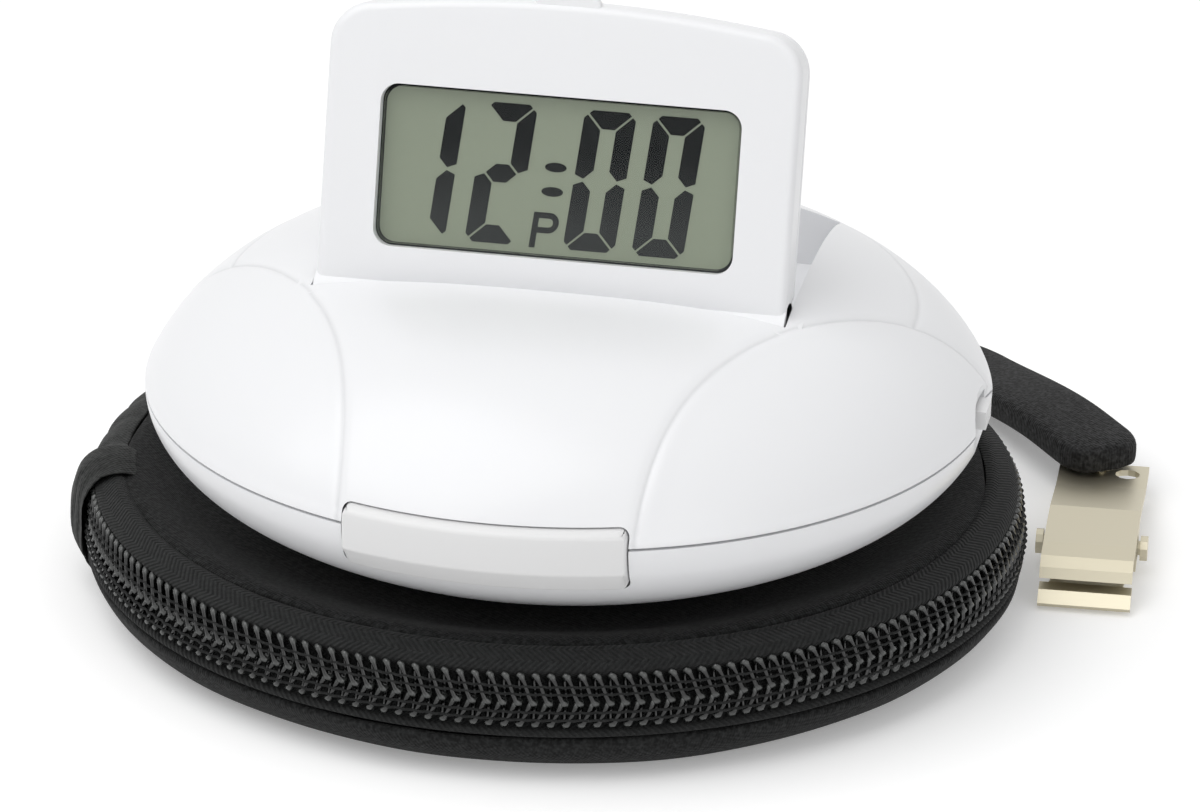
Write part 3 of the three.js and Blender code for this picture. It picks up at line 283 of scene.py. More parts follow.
def tint(material, factor, low, high):
    ramp = add_node(material, "ShaderNodeMix", data_type="RGBA")
    ramp.inputs[6].default_value = (*low, 1)
    ramp.inputs[7].default_value = (*high, 1)
    join(material, factor, ramp.inputs[0])
    join(material, ramp.outputs[2], material.node_tree.nodes["Principled BSDF"].inputs["Base Color"])


def noise(material, scale, detail=2.0, stretch=(1, 1, 1)):
    place = add_node(material, "ShaderNodeTexCoord")
    sizing = add_node(material, "ShaderNodeMapping")
    sizing.inputs["Scale"].default_value = stretch
    join(material, place.outputs["Object"], sizing.inputs["Vector"])
    node = add_node(material, "ShaderNodeTexNoise")
    node.inputs["Scale"].default_value = scale
    node.inputs["Detail"].default_value = detail
    join(material, sizing.outputs["Vector"], node.inputs["Vector"])
    return node.outputs["Fac"]


FUZZ_SCALE = 2200


def grain(material, fuzz):
    """Noise spread out to stand for loose fibres that catch the light."""
    node = add_node(material, "ShaderNodeMapRange")
    node.inputs["From Min"].default_value = 0.4
    node.inputs["From Max"].default_value = 0.75
    join(material, fuzz, node.inputs["Value"])
    return node.outputs["Result"]


def woven(name, low, high, roughness, thread, depth):
    """Plain cloth: two crossed sets of threads with a little unevenness."""
    material = shader(name, low, roughness, specular=0.2, sheen=0.04)
    parts = object_parts(material)
    turn = 2 * math.pi / (thread * MM)
    warp = math_node(material, "SINE", math_node(material, "MULTIPLY", parts["X"], turn))
    weft = math_node(material, "SINE", math_node(material, "MULTIPLY", parts["Y"], turn))
    threads = math_node(material, "MULTIPLY", warp, weft)
    fuzz = noise(material, FUZZ_SCALE, 3)
    height = math_node(material, "ADD", math_node(material, "MULTIPLY", threads, 0.5), fuzz)
    bump(material, height, depth)
    tint(material, grain(material, fuzz), low, high)
    return material


def herringbone(name, low, high, pitch, band):
    """Zip tape: slanted threads that turn back in narrow bands across the tape."""
    material = shader(name, low, 0.85, specular=0.2, sheen=0.03)
    run = add_node(material, "ShaderNodeUVMap", uv_map="run")
    parts = add_node(material, "ShaderNodeSeparateXYZ")
    join(material, run.outputs["UV"], parts.inputs["Vector"])
    zigzag = math_node(material, "PINGPONG", parts.outputs["Y"], band)
    phase = math_node(material, "ADD", parts.outputs["X"], zigzag)
    wave = math_node(material, "SINE", math_node(material, "MULTIPLY", phase, 2 * math.pi / pitch))
    fuzz = noise(material, FUZZ_SCALE, 3)
    bump(material, math_node(material, "ADD", wave, fuzz), 0.06)
    ribs = math_node(material, "MULTIPLY_ADD", wave, 0.22, 0.25)
    tint(material, math_node(material, "MULTIPLY_ADD", grain(material, fuzz), 0.6, ribs), low, high)
    return material


GLOSS_COLOR = (0.84, 0.845, 0.86)
GLOSS_ROUGHNESS = 0.3
# Colour of the painted shade in the moulded lines of the dome
GROOVE_SHADE_COLOR = (0.75, 0.755, 0.77)
WHITE = shader("white_gloss", GLOSS_COLOR, GLOSS_ROUGHNESS)
IVORY = shader("ivory", (0.76, 0.76, 0.762), 0.38)
FABRIC = woven(
    "fabric", low=(0.003, 0.0032, 0.0032), high=(0.026, 0.027, 0.027),
    roughness=0.9, thread=0.45, depth=0.06,
)
SPINE_FABRIC = woven(
    "spine_fabric", low=(0.008, 0.0085, 0.008), high=(0.034, 0.036, 0.034),
    roughness=0.7, thread=0.55, depth=0.06,
)
STRAP_FABRIC = woven(
    "strap_fabric", low=(0.007, 0.007, 0.007), high=(0.045, 0.045, 0.046),
    roughness=0.85, thread=0.5, depth=0.08,
)
TAPE = herringbone(
    "tape", low=(0.006, 0.0063, 0.0063), high=(0.024, 0.025, 0.0248), pitch=0.7, band=1.5,
)
COIL = shader("coil", (0.004, 0.0045, 0.0045), 0.16, specular=0.6)
NICKEL = shader("nickel", (0.61, 0.565, 0.44), 0.42, metallic=1)
bump(NICKEL, noise(NICKEL, 300, 3, (1, 12, 1)), 0.01)
STEEL = shader("steel", (0.6, 0.6, 0.62), 0.3, metallic=1)
BRASS = shader("brass", (0.72, 0.56, 0.26), 0.3, metallic=1)
RUBBER = shader("rubber", (0.02, 0.02, 0.02), 0.85)
BOARD = shader("board", (0.02, 0.11, 0.05), 0.5)
DARK = shader("dark_plastic", (0.03, 0.03, 0.033), 0.5)
CELL = shader("cell", (0.28, 0.19, 0.08), 0.3, metallic=0.5)
DIFFUSER = shader("diffuser", (0.8, 0.84, 0.8), 0.6)
LCD = shader("lcd", (0.295, 0.322, 0.25), 0.25)
INK = shader("lcd_ink", (0.008, 0.01, 0.012), 0.5, specular=0.08)


# Heights over which the painted reflection on the ink runs
INK_PALE_Z = 46
INK_DARK_Z = 54


def paint_ink_reflection():
    """Painted reflection: the ink is paler towards the lower edge of the display."""
    parts = object_parts(INK)
    reach = add_node(INK, "ShaderNodeMapRange")
    reach.inputs["From Min"].default_value = INK_PALE_Z * MM
    reach.inputs["From Max"].default_value = INK_DARK_Z * MM
    join(INK, parts["Z"], reach.inputs["Value"])
    # Painted reflection: the ink goes from pale at the lower height to dark at the upper one.
    tint(INK, reach.outputs["Result"], (0.042, 0.044, 0.046), (0.004, 0.005, 0.006))


paint_ink_reflection()


def clear_window(name):
    """Clear plastic that mirrors only at a low angle."""
    material = bpy.data.materials.new(name)
    material.use_nodes = True
    tree = material.node_tree
    tree.nodes.remove(tree.nodes["Principled BSDF"])
    clear = add_node(material, "ShaderNodeBsdfTransparent")
    clear.inputs["Color"].default_value = (0.96, 0.97, 0.96, 1)
    gloss = add_node(material, "ShaderNodeBsdfGlossy")
    gloss.inputs["Roughness"].default_value = 0.06
    facing = add_node(material, "ShaderNodeLayerWeight").outputs["Facing"]
    edge = math_node(material, "POWER", facing, 5.0)
    shine = math_node(material, "MULTIPLY_ADD", edge, 0.9, 0.01)
    mix = add_node(material, "ShaderNodeMixShader")
    join(material, shine, mix.inputs["Fac"])
    join(material, clear.outputs["BSDF"], mix.inputs[1])
    join(material, gloss.outputs["BSDF"], mix.inputs[2])
    join(material, mix.outputs["Shader"], tree.nodes["Material Output"].inputs["Surface"])
    return material


WINDOW = clear_window("window")

# Case sizes in millimetres, as in the CAD
CASE_R = 51.1
CHAIN_TOP_R = 50.4
CHAIN_TOP_Z = 11.9
CHAIN_BOTTOM_Z = 6.6
CHAIN_MID_Z = (CHAIN_TOP_Z + CHAIN_BOTTOM_Z) / 2
LID_TOP_Z = 11.8
SEAM_Z_CASE = LID_TOP_Z + 2.25
BASE_EDGE_R = 50.7
ZIP_START = 194.5
ZIP_END = 438
TOOTH_PITCH = 1.57
ROUND = 240


def chain_r(z):
    return CASE_R + (CHAIN_TOP_R - CASE_R) * (z - CHAIN_BOTTOM_Z) / (CHAIN_TOP_Z - CHAIN_BOTTOM_Z)


def wave(degrees, z):
    """Slight unevenness of soft cloth, in millimetres."""
    a = math.radians(degrees)
    return 0.12 * math.sin(5 * a + 0.7 * z) + 0.08 * math.sin(11 * a + 2.1) + 0.05 * math.sin(23 * a + z)


# Cloth is uneven in full beyond this radius and flat at the axis
SOFT_R = 30


def cloth_lathe(name, corners, per_span):
    """Closed soft shell of revolution. Its profile starts and ends near the axis."""
    profile = smooth_line(corners, per_span)

    def section(degrees):
        made = []
        for r, z in profile:
            soft = min(1, r / SOFT_R)
            made.append((r + soft * wave(degrees, z), z + soft * 0.5 * wave(degrees + 40, r)))
        return made

    return sweep(name, section, 0, 360, ROUND, loop=True)


# Case lid: padded cloth dished under the clock
lid = cloth_lathe("case_lid_cloth", [
    (0.02, LID_TOP_Z - 0.15), (0.3, LID_TOP_Z - 0.15), (2, LID_TOP_Z - 0.15), (20, LID_TOP_Z - 0.15),
    (34, LID_TOP_Z - 0.15), (38.5, LID_TOP_Z),
    (42, LID_TOP_Z + 1.35), (44.6, LID_TOP_Z + 2.2), (45.9, LID_TOP_Z + 2.15), (46.35, LID_TOP_Z + 1.7),
    (45.6, LID_TOP_Z + 0.7), (42, LID_TOP_Z - 0.8), (37, LID_TOP_Z - 1.9), (0.02, LID_TOP_Z - 1.9),
], 4)
part(lid, "case", FABRIC, ["case_lid"])

# Case base: flat underside rolling up into the lower tape
base = cloth_lathe("case_base_cloth", [
    (0.02, 0.12), (0.3, 0.12), (2, 0.12), (30, 0.12), (43, 0.15), (46.8, 0.75), (49.2, 2.4),
    (50.3, 4.0), (50.55, 4.85), (50.1, 5.15), (49.2, 4.7), (47.9, 3.5), (45.5, 2.4), (42, 2.0), (0.02, 2.0),
], 4)
part(base, "case", FABRIC, ["case_base"])

# Zip tapes in herringbone weave
TAPE_STEPS = 220
upper_tape = smooth_line([
    (46.3, SEAM_Z_CASE - 0.45), (47.2, SEAM_Z_CASE - 0.05), (48.6, SEAM_Z_CASE - 0.6),
    (49.75, CHAIN_TOP_Z + 0.75), (49.55, CHAIN_TOP_Z + 0.1), (48.9, CHAIN_TOP_Z - 0.6),
    (49.0, CHAIN_MID_Z + 0.15),
], 5)
upper_tape += [
    (48.2, CHAIN_MID_Z + 0.15), (47.9, CHAIN_TOP_Z - 0.2), (47.4, CHAIN_TOP_Z + 0.7),
    (46.8, SEAM_Z_CASE - 1.05),
]
tape_top = sweep("zip_tape_upper_cloth", lambda a: upper_tape, ZIP_START, ZIP_END, TAPE_STEPS)
part(tape_top, "case", TAPE, ["zip_tape_upper"])
lower_tape = smooth_line([
    (50.3, 5.35), (50.75, 5.7), (50.6, CHAIN_BOTTOM_Z - 0.45), (49.7, CHAIN_BOTTOM_Z - 0.1),
    (49.35, CHAIN_BOTTOM_Z + 0.6), (49.0, CHAIN_MID_Z - 0.15),
], 5)
lower_tape += [(48.25, CHAIN_MID_Z - 0.15), (48.6, CHAIN_BOTTOM_Z), (49.3, 5.35)]
tape_low = sweep("zip_tape_lower_cloth", lambda a: lower_tape, ZIP_START, ZIP_END, TAPE_STEPS)
part(tape_low, "case", TAPE, ["zip_tape_lower"])


# Zip coil: one bent monofilament per row, wound in flat loops that interlock
# Half width of the painted highlight bands on the coil, in millimetres
BEND_HIGHLIGHT_HALF = 0.26
COIL_WIRE = 0.28
COIL_SIDES = 7
COIL_STEPS = 14
COIL_DEPTH = 0.72
COIL_HALF = 0.34
HEAD_SWELL = 0.45
TIP_SWELL = 0.3
HEAD_RISE = 0.15
TIP_RISE = 0.2
LOOP_LEAN = 0.22
LOOP_FLATNESS = 0.7
END_SHARPNESS = 6
LOOP_STEP = TOOTH_PITCH / chain_r(CHAIN_MID_Z)
LOOPS = int(math.radians(ZIP_END - ZIP_START) / LOOP_STEP)


def paint_bend_highlights(material):
    """Painted highlight: the bends of the loops are paler than their legs."""
    parts = object_parts(material)
    height = math_node(material, "DIVIDE", parts["Z"], MM)
    total = 0.0
    for level in (CHAIN_TOP_Z + 0.15, CHAIN_MID_Z - 0.1, CHAIN_BOTTOM_Z + 0.2):
        away = math_node(material, "DIVIDE", math_node(material, "SUBTRACT", height, level), BEND_HIGHLIGHT_HALF)
        square = math_node(material, "MULTIPLY", away, away)
        fade = math_node(material, "EXPONENT", math_node(material, "MULTIPLY", square, -1.0))
        total = math_node(material, "ADD", fade, total)
    # Painted highlight: the coil is paler at the three heights of the bends.
    tint(material, total, (0.003, 0.0033, 0.0033), (0.055, 0.058, 0.056))


paint_bend_highlights(COIL)


def coil_row(name, low_z, high_z, phase, slant):
    """One row of loops. The slant is -1 for the upper row and 1 for the lower one."""
    count = LOOPS * COIL_STEPS
    start = math.radians(ZIP_START)
    middle = (low_z + high_z) / 2
    reach = (high_z - low_z) / 2 - COIL_WIRE
    line = []
    wires = []
    for i in range(count + 1):
        turn = 2 * math.pi * i / COIL_STEPS
        up = math.cos(turn)
        out = -slant * math.sin(turn)
        flat_up = math.copysign(abs(up) ** LOOP_FLATNESS, up)
        z = middle + reach * flat_up
        edge = -slant * flat_up
        head = max(0, edge) ** END_SHARPNESS
        tip = max(0, -edge) ** END_SHARPNESS
        wires.append(COIL_WIRE * (1 + HEAD_SWELL * head + (TIP_SWELL - TIP_SWELL * slant) * tip))
        r = chain_r(z) - COIL_DEPTH + COIL_HALF * out + HEAD_RISE * head - TIP_RISE * slant * tip
        lean = slant * LOOP_LEAN * flat_up * LOOP_STEP
        line.append(Vector(polar(r, start + (i / COIL_STEPS + phase) * LOOP_STEP + lean, z)))
    rings = []
    for i, at in enumerate(line):
        along = (line[min(count, i + 1)] - line[max(0, i - 1)]).normalized()
        outward = Vector((at.x, at.y, 0)).normalized()
        side = along.cross(outward).normalized()
        other = side.cross(along)
        rings.append([
            tuple(at + wires[i] * (side * math.cos(t) + other * math.sin(t)))
            for t in full_turn(COIL_SIDES)
        ])
    return loft(name, rings)


coil_top = coil_row("zip_coil_upper_loops", CHAIN_MID_Z - 0.5, CHAIN_TOP_Z + 0.4, 0, -1)
part(coil_top, "case", COIL, ["zip_coil_upper"])
coil_low = coil_row("zip_coil_lower_loops", CHAIN_BOTTOM_Z, CHAIN_MID_Z + 0.5, 0.5, 1)
part(coil_low, "case", COIL, ["zip_coil_lower"])

# Sewing threads that hold each coil row down, dipping between the loops
THREAD_R = 0.13
THREAD_SIDES = 6
THREAD_STEPS = 8
THREAD_DEPTH = 0.12
THREAD_DIP = 0.1
# Each row: its name, two heights from the middle of the chain, and the phase of its loops
THREAD_ROWS = [("upper", 0.95, 1.75, 0.75), ("lower", -1.75, -0.95, 0.25)]


def coil_thread(name, z, phase):
    rings = []
    for i in range(LOOPS * THREAD_STEPS + 1):
        turn = i / THREAD_STEPS
        a = math.radians(ZIP_START) + turn * LOOP_STEP
        r = chain_r(z) - THREAD_DEPTH + THREAD_DIP * math.cos(2 * math.pi * (turn - phase))
        rings.append([
            polar(r + THREAD_R * math.cos(t), a, z + THREAD_R * math.sin(t))
            for t in full_turn(THREAD_SIDES)
        ])
    part(loft(name, rings), "case", TAPE)


for row, low, high, phase in THREAD_ROWS:
    for line, drop in (("inner", low), ("outer", high)):
        coil_thread(f"zip_thread_{row}_{line}", CHAIN_MID_Z + drop, phase)

# Spine: smoother cloth behind the case, its end folded over the start of the zip
SPINE_START = 80
HOOD_END = 199
SPINE_OUTER = [
    (46.6, SEAM_Z_CASE - 0.55), (46.85, SEAM_Z_CASE - 0.2), (48.7, SEAM_Z_CASE - 0.6),
    (50.45, CHAIN_TOP_Z + 0.25), (51.1, CHAIN_MID_Z + 1.2), (51.2, CHAIN_MID_Z - 1.2),
    (51.1, 6.4), (50.85, 5.6), (50.7, 5.45),
]
SPINE_INNER = [
    (49.7, 5.45), (49.6, 5.6), (49.6, 6.4), (49.6, CHAIN_MID_Z - 1.2), (49.5, CHAIN_MID_Z + 1.2),
    (48.9, CHAIN_TOP_Z - 0.4), (47.8, SEAM_Z_CASE - 1.45), (46.85, SEAM_Z_CASE - 1.0),
    (46.6, SEAM_Z_CASE - 0.9),
]
HOOD_OUTER = [
    (45.2, SEAM_Z_CASE + 0.1), (46.9, SEAM_Z_CASE + 0.75), (49.4, SEAM_Z_CASE + 0.45),
    (51.4, CHAIN_TOP_Z + 1.0), (52.3, CHAIN_MID_Z + 1.2), (52.4, CHAIN_MID_Z - 1.2),
    (52.1, 5.0), (50.9, 2.6), (48.3, 0.6),
]
HOOD_INNER = [
    (48.0, 1.2), (50.0, 3.0), (51.2, 5.4), (51.35, CHAIN_MID_Z - 1.2), (51.25, CHAIN_MID_Z + 1.2),
    (50.55, CHAIN_TOP_Z + 0.45), (49.1, SEAM_Z_CASE - 0.1), (46.9, SEAM_Z_CASE + 0.3),
    (45.3, SEAM_Z_CASE - 0.05),
]
spine_face = smooth_line(SPINE_OUTER, 4)
hood_lining = smooth_line(HOOD_INNER, 2)
spine_plain = spine_face + smooth_line(SPINE_INNER, 2)
spine_hood = smooth_line(HOOD_OUTER, 4) + hood_lining
# Hood and folds: places in degrees round the case, depths in millimetres
HOOD_RISE = (187.5, 191.5)
HOOD_THIN = 193.5
HEM_STITCHES = (195.2, 197.2)
HEM_DEPTH = 0.22
HEM_HALF = 0.35
FOLD_HALF = 1.3
FOLD_LEAN = 0.4
THIN_SHARE = 0.85
SPINE_FOLDS = [(188.0, 0.5), (180.0, 0.4), (173.0, 0.3), (162.0, 0.25), (150.0, 0.2)]


def spine_section(degrees):
    """Section of the spine, which swells into the hood near its end."""
    hood = smoothstep(degrees, *HOOD_RISE)
    thin = smoothstep(degrees, HOOD_THIN, HOOD_END) * THIN_SHARE
    hem = -HEM_DEPTH * sum(math.exp(-((degrees - place) / HEM_HALF) ** 2) for place in HEM_STITCHES)
    made = []
    count = len(spine_face)
    lining = hood_lining[::-1]
    for i, ((r0, z0), (r1, z1)) in enumerate(zip(spine_plain, spine_hood)):
        r = r0 + (r1 - r0) * hood
        z = z0 + (z1 - z0) * hood
        if i < count:
            middle = math.sin(math.pi * i / (count - 1))
            for place, depth in SPINE_FOLDS:
                away = degrees - place + FOLD_LEAN * (z - CHAIN_MID_Z)
                r -= middle * depth * math.exp(-(away / FOLD_HALF) ** 2)
            near = lining[min(len(lining) - 1, round(i * (len(lining) - 1) / (count - 1)))]
            r += (near[0] - r) * thin
            z += (near[1] - z) * thin
            r += middle * wave(degrees * 1.7, z) + hem
        made.append((r, z))
    return made


spine = sweep("case_spine_cloth", spine_section, SPINE_START, HOOD_END, 300)
part(spine, "case", SPINE_FABRIC, ["case_spine"])

# Strap: flat limp webbing from the case to the clip
STRAP_WIDTH = 9.4
STRAP_THICK = 3.6
STRAP_LEAD = 3.0
STRAP_BEND_R = 19.0
STRAP_BEND = math.radians(130) * STRAP_BEND_R
STRAP_RUN = 33.0
STRAP_LENGTH = STRAP_LEAD + STRAP_BEND + STRAP_RUN
STRAP_ROOT_RUN = 20.0
STRAP_TAIL_RUN = 34.0
STRAP_ROOT_Z = 3.4
STRAP_SPAN_Z = 2.0
STRAP_END_Z = 5.35


STRAP_ROOT = polar(BASE_EDGE_R + 0.9, math.radians(86.7), STRAP_ROOT_Z)
STRAP_HEADING = math.radians(75)


def strap_point(along):
    """Point and heading of the strap's middle line at a length from the case."""
    x, y, _ = STRAP_ROOT
    heading = STRAP_HEADING
    lead = min(along, STRAP_LEAD)
    turn = min(max(along - STRAP_LEAD, 0), STRAP_BEND) / STRAP_BEND_R
    run = max(0, along - STRAP_LEAD - STRAP_BEND)
    left = heading + math.pi / 2
    last = heading - turn
    x += lead * math.cos(heading) + STRAP_BEND_R * (math.cos(left - turn) - math.cos(left))
    y += lead * math.sin(heading) + STRAP_BEND_R * (math.sin(left - turn) - math.sin(left))
    x += run * math.cos(last)
    y += run * math.sin(last)
    tail = STRAP_LENGTH - STRAP_WIDTH
    z = STRAP_ROOT_Z + (STRAP_SPAN_Z - STRAP_ROOT_Z) * smoothstep(along, 0, STRAP_ROOT_RUN)
    z += (STRAP_END_Z - STRAP_SPAN_Z) * smoothstep(along, tail - STRAP_TAIL_RUN, tail)
    return Vector((x, y, z)), last


STRAP_STEPS = 120
STRAP_SIDES = 36
STRAP_TIP = 4.5
STRAP_HEM_AT = 0.72
STRAP_HEM_HALF = 0.05
STRAP_HEM_DEPTH = 0.12
strap_rings = []
strap_run = []
for i in range(STRAP_STEPS + 1):
    along = STRAP_LENGTH * i / STRAP_STEPS
    at, heading = strap_point(along)
    strap_run.append(along)
    side = Vector((math.sin(heading), -math.cos(heading), 0))
    past = max(0, 1 - (STRAP_LENGTH - along) / STRAP_TIP)
    tip = math.sqrt(1 - past * past)
    half = STRAP_WIDTH / 2 * (0.5 + 0.5 * tip)
    high = STRAP_THICK / 2 * (0.7 + 0.3 * tip)
    ring = []
    for t in full_turn(STRAP_SIDES):
        across = math.copysign(abs(math.cos(t)) ** 0.4, math.cos(t))
        lift = math.copysign(abs(math.sin(t)) ** 0.5, math.sin(t))
        hem = STRAP_HEM_DEPTH * math.exp(-((abs(across) - STRAP_HEM_AT) / STRAP_HEM_HALF) ** 2)
        ring.append(tuple(at + side * half * across + Vector((0, 0, (high - hem) * lift))))
    strap_rings.append(ring)
strap = loft("strap_webbing", strap_rings, run=strap_run)
part(strap, "case", STRAP_FABRIC, ["strap"])

# Clock sizes in millimetres, as in the CAD
CLOCK = Vector((2.2, -5, 0))
CLOCK_R = 45.0
SEAM_Z = 26.0
BASE_Z = 13.0
DOME_H = 14.8
BELLY_H = 16.9
WALL = 1.8
GAP = 0.3
PANEL_HALF = 24.9
PANEL_TOP = 30.4
PANEL_SHOULDER = 29.0
PANEL_CORNER = 4.5
PANEL_LEAN = math.radians(15.3)
PANEL_FOOT = (-11.65, SEAM_Z + 13.7)
BARREL_R = 2.6
HINGE_S = -2.5
HINGE_Y = PANEL_FOOT[0] + HINGE_S * math.sin(PANEL_LEAN) + BARREL_R * math.cos(PANEL_LEAN)
HINGE_Z = PANEL_FOOT[1] + HINGE_S * math.cos(PANEL_LEAN) - BARREL_R * math.sin(PANEL_LEAN)
WELL_HALF = PANEL_HALF + 0.2
WELL_FRONT = HINGE_Y - BARREL_R - GAP
WELL_REAR = HINGE_Y + PANEL_TOP - HINGE_S + 0.8
WELL_FLOOR = 31.5
WELL_WALL = 1.6
FAR = 70
LINER = 0.04
POLE_R = 0.02
SLOPE_STEP = 0.02
DOME_ROUND = 600
SHELL_EDGE = math.radians(32)
ROUND_EDGE = math.radians(40)

# Moulded lines of the dome, in plan from the clock axis
PETAL_X = 75.0
PETAL_Y = -47.0
PETAL_R = 60.0
REAR_LINE_R = 36.8
LINE_HALF = 0.22
REAR_LINE_Y = -3.0
GROOVE_HALF = 0.5
PETAL_GROOVE = 0.2
PETAL_SINK = 0.1
REAR_GROOVE = 0.16


def lined_white(name):
    """White plastic that carries the fine moulded lines of the dome as bumps, with painted shade darkening
    the lines.
    """
    material = shader(name, GLOSS_COLOR, GLOSS_ROUGHNESS)
    parts = object_parts(material)

    def step(operation, *values):
        return math_node(material, operation, *values)

    def length(across, along):
        return step("SQRT", step("ADD", step("MULTIPLY", across, across), step("MULTIPLY", along, along)))

    def line(distance):
        reach = step("DIVIDE", distance, LINE_HALF)
        return step("EXPONENT", step("MULTIPLY", step("MULTIPLY", reach, reach), -1.0))

    x = step("SUBTRACT", step("DIVIDE", parts["X"], MM), CLOCK.x)
    y = step("SUBTRACT", step("DIVIDE", parts["Y"], MM), CLOCK.y)
    petal = length(step("SUBTRACT", step("ABSOLUTE", x), PETAL_X), step("SUBTRACT", y, PETAL_Y))
    beyond = step("SUBTRACT", petal, PETAL_R)
    behind = step("MULTIPLY", step("GREATER_THAN", beyond, 0.0), step("GREATER_THAN", y, REAR_LINE_Y))
    rear = step("MULTIPLY", line(step("SUBTRACT", length(x, y), REAR_LINE_R)), behind)
    lines = step("MAXIMUM", line(beyond), rear)
    bump(material, step("MULTIPLY", lines, -1.0), 0.06)
    # Painted shade: the base colour darkens along the moulded lines.
    tint(material, lines, GLOSS_COLOR, GROOVE_SHADE_COLOR)
    return material


DOME_WHITE = lined_white("white_dome")


def dome_rise(f):
    """Height of the dome, as a share, at a share of its radius."""
    return max(0.0, 1 - min(1.0, f) ** 4) ** (1 / 1.3)


def dome_shares(count):
    """Shares of the radius from axis to rim, closer together at the rim."""
    return [math.sin(math.pi / 2 * i / count) ** 0.8 for i in range(count + 1)]


def groove_depth(x, y):
    """Depth of the moulded lines at a plan point, in millimetres."""
    depth = 0.0
    petal = math.hypot(abs(x) - PETAL_X, y - PETAL_Y)
    corner = math.hypot(abs(x) - WELL_HALF, y - WELL_FRONT)
    fade = smoothstep(corner, 0.8, 2.5)
    depth += PETAL_GROOVE * math.exp(-((petal - PETAL_R) / GROOVE_HALF) ** 2) * fade
    depth += PETAL_SINK * smoothstep(PETAL_R - petal, 0, 2.5) * fade
    r = math.hypot(x, y)
    if petal > PETAL_R and y > REAR_LINE_Y:
        depth += REAR_GROOVE * math.exp(-((r - REAR_LINE_R) / GROOVE_HALF) ** 2) * fade
    return depth


def dome_shell(name):
    """Upper shell skin, fine enough to carry the moulded lines."""
    outer = [(max(POLE_R, CLOCK_R * f), dome_rise(f)) for f in dome_shares(150)]
    inner = [(max(POLE_R, (CLOCK_R - WALL) * f), dome_rise(f)) for f in dome_shares(24)[::-1]]
    rings = []
    for a in full_turn(DOME_ROUND):
        ring = []
        for r, rise in outer:
            x, y = r * math.cos(a), r * math.sin(a)
            z = SEAM_Z + GAP / 2 + (DOME_H - GAP / 2) * rise
            rise_ahead = dome_rise((r + SLOPE_STEP) / CLOCK_R) - dome_rise((r - SLOPE_STEP) / CLOCK_R)
            steep = rise_ahead * DOME_H / (2 * SLOPE_STEP)
            normal = Vector((-steep * math.cos(a), -steep * math.sin(a), 1)).normalized()
            rim = smoothstep(CLOCK_R - r, 0.0, 0.5)
            ring.append(tuple(Vector((x, y, z)) - normal * groove_depth(x, y) * rim + CLOCK))
        for r, rise in inner:
            z = SEAM_Z + GAP / 2 + (DOME_H - WALL) * rise
            ring.append(tuple(Vector(polar(r, a, z)) + CLOCK))
        rings.append(ring)
    return loft(name, rings, loop=True)


def clock_block(name, x0, x1, y0, y1, z0, z1):
    return block(name, x0 + CLOCK.x, x1 + CLOCK.x, y0 + CLOCK.y, y1 + CLOCK.y, z0, z1)


def clock_rod(name, radius, x, y, z0, z1, sides=40):
    return rod(name, radius, Vector((x, y, z0)) + CLOCK, Vector((x, y, z1)) + CLOCK, sides)


SCOOP_R = 25
SCOOP_DEPTH = 1.3


def scoop_ball(name):
    """Cutter for the shallow finger hollow round the side switch."""
    made = bmesh.new()
    bmesh.ops.create_uvsphere(made, u_segments=160, v_segments=80, radius=SCOOP_R * MM)
    mesh = bpy.data.meshes.new(name)
    made.to_mesh(mesh)
    made.free()
    obj = bpy.data.objects.new(name, mesh)
    obj.location = (CLOCK + Vector((CLOCK_R - SCOOP_DEPTH + SCOOP_R, 0, SEAM_Z))) * MM
    scene.collection.objects.link(obj)
    bpy.context.view_layer.update()
    return obj


def rounded_line(half, low, high, corner, steps):
    """Outline of a box about x = 0 with round corners."""
    line = []
    for x, y, start in (
        (half - corner, high - corner, 0), (corner - half, high - corner, 90),
        (corner - half, low + corner, 180), (half - corner, low + corner, 270),
    ):
        for i in range(steps + 1):
            a = math.radians(start + 90 * i / steps)
            line.append((x + corner * math.cos(a), y + corner * math.sin(a)))
    return line


def rounded_way(name, half, y0, y1, z0, z1, corner):
    """Cutter along y with a rounded outline."""
    line = rounded_line(half, z0, z1, corner, 8)
    return loft(name, [[tuple(Vector((x, y, z)) + CLOCK) for x, z in line] for y in (y0, y1)])


BAR_CORNER = 0.9
BAR_WAY_HALF = 14.7
BAR_WAY_REAR = -36
BAR_WAY_DROP = 5.2
BAR_WAY_RISE = 2.2
KNOB_WAY_X = 36
KNOB_WAY_HALF = 3.8
KNOB_WAY_RISE = 1.3


def seam_cutters():
    """Openings that both shells share: bar, switch and finger hollow."""
    return [
        rounded_way(
            "bar_way", BAR_WAY_HALF, -FAR, BAR_WAY_REAR,
            SEAM_Z - BAR_WAY_DROP, SEAM_Z + BAR_WAY_RISE, BAR_CORNER + 0.2,
        ),
        clock_block(
            "knob_way", KNOB_WAY_X, FAR, -KNOB_WAY_HALF, KNOB_WAY_HALF,
            SEAM_Z - KNOB_WAY_RISE, SEAM_Z + KNOB_WAY_RISE,
        ),
        scoop_ball("scoop"),
    ]


# Upper shell: dome, hidden well walls and floor, then the openings
upper = dome_shell("upper_shell_skin")
NOTCH_HALF = 5
NOTCH_REAR = WELL_REAR + 1.9
NOTCH_FLOOR = HINGE_Z + BARREL_R - 2.3
cut(upper, [
    clock_block(
        "well", -WELL_HALF - LINER, WELL_HALF + LINER,
        WELL_FRONT - LINER, WELL_REAR + LINER, WELL_FLOOR, FAR,
    ),
    clock_block(
        "tab_way", -NOTCH_HALF - LINER, NOTCH_HALF + LINER,
        WELL_REAR - 1, NOTCH_REAR + LINER, NOTCH_FLOOR, FAR,
    ),
    *seam_cutters(),
])
upper.data.set_sharp_from_angle(angle=SHELL_EDGE)
part(upper, "clock", DOME_WHITE, ["upper_shell"])


SKY_R = 60
SKY_TOP = 80


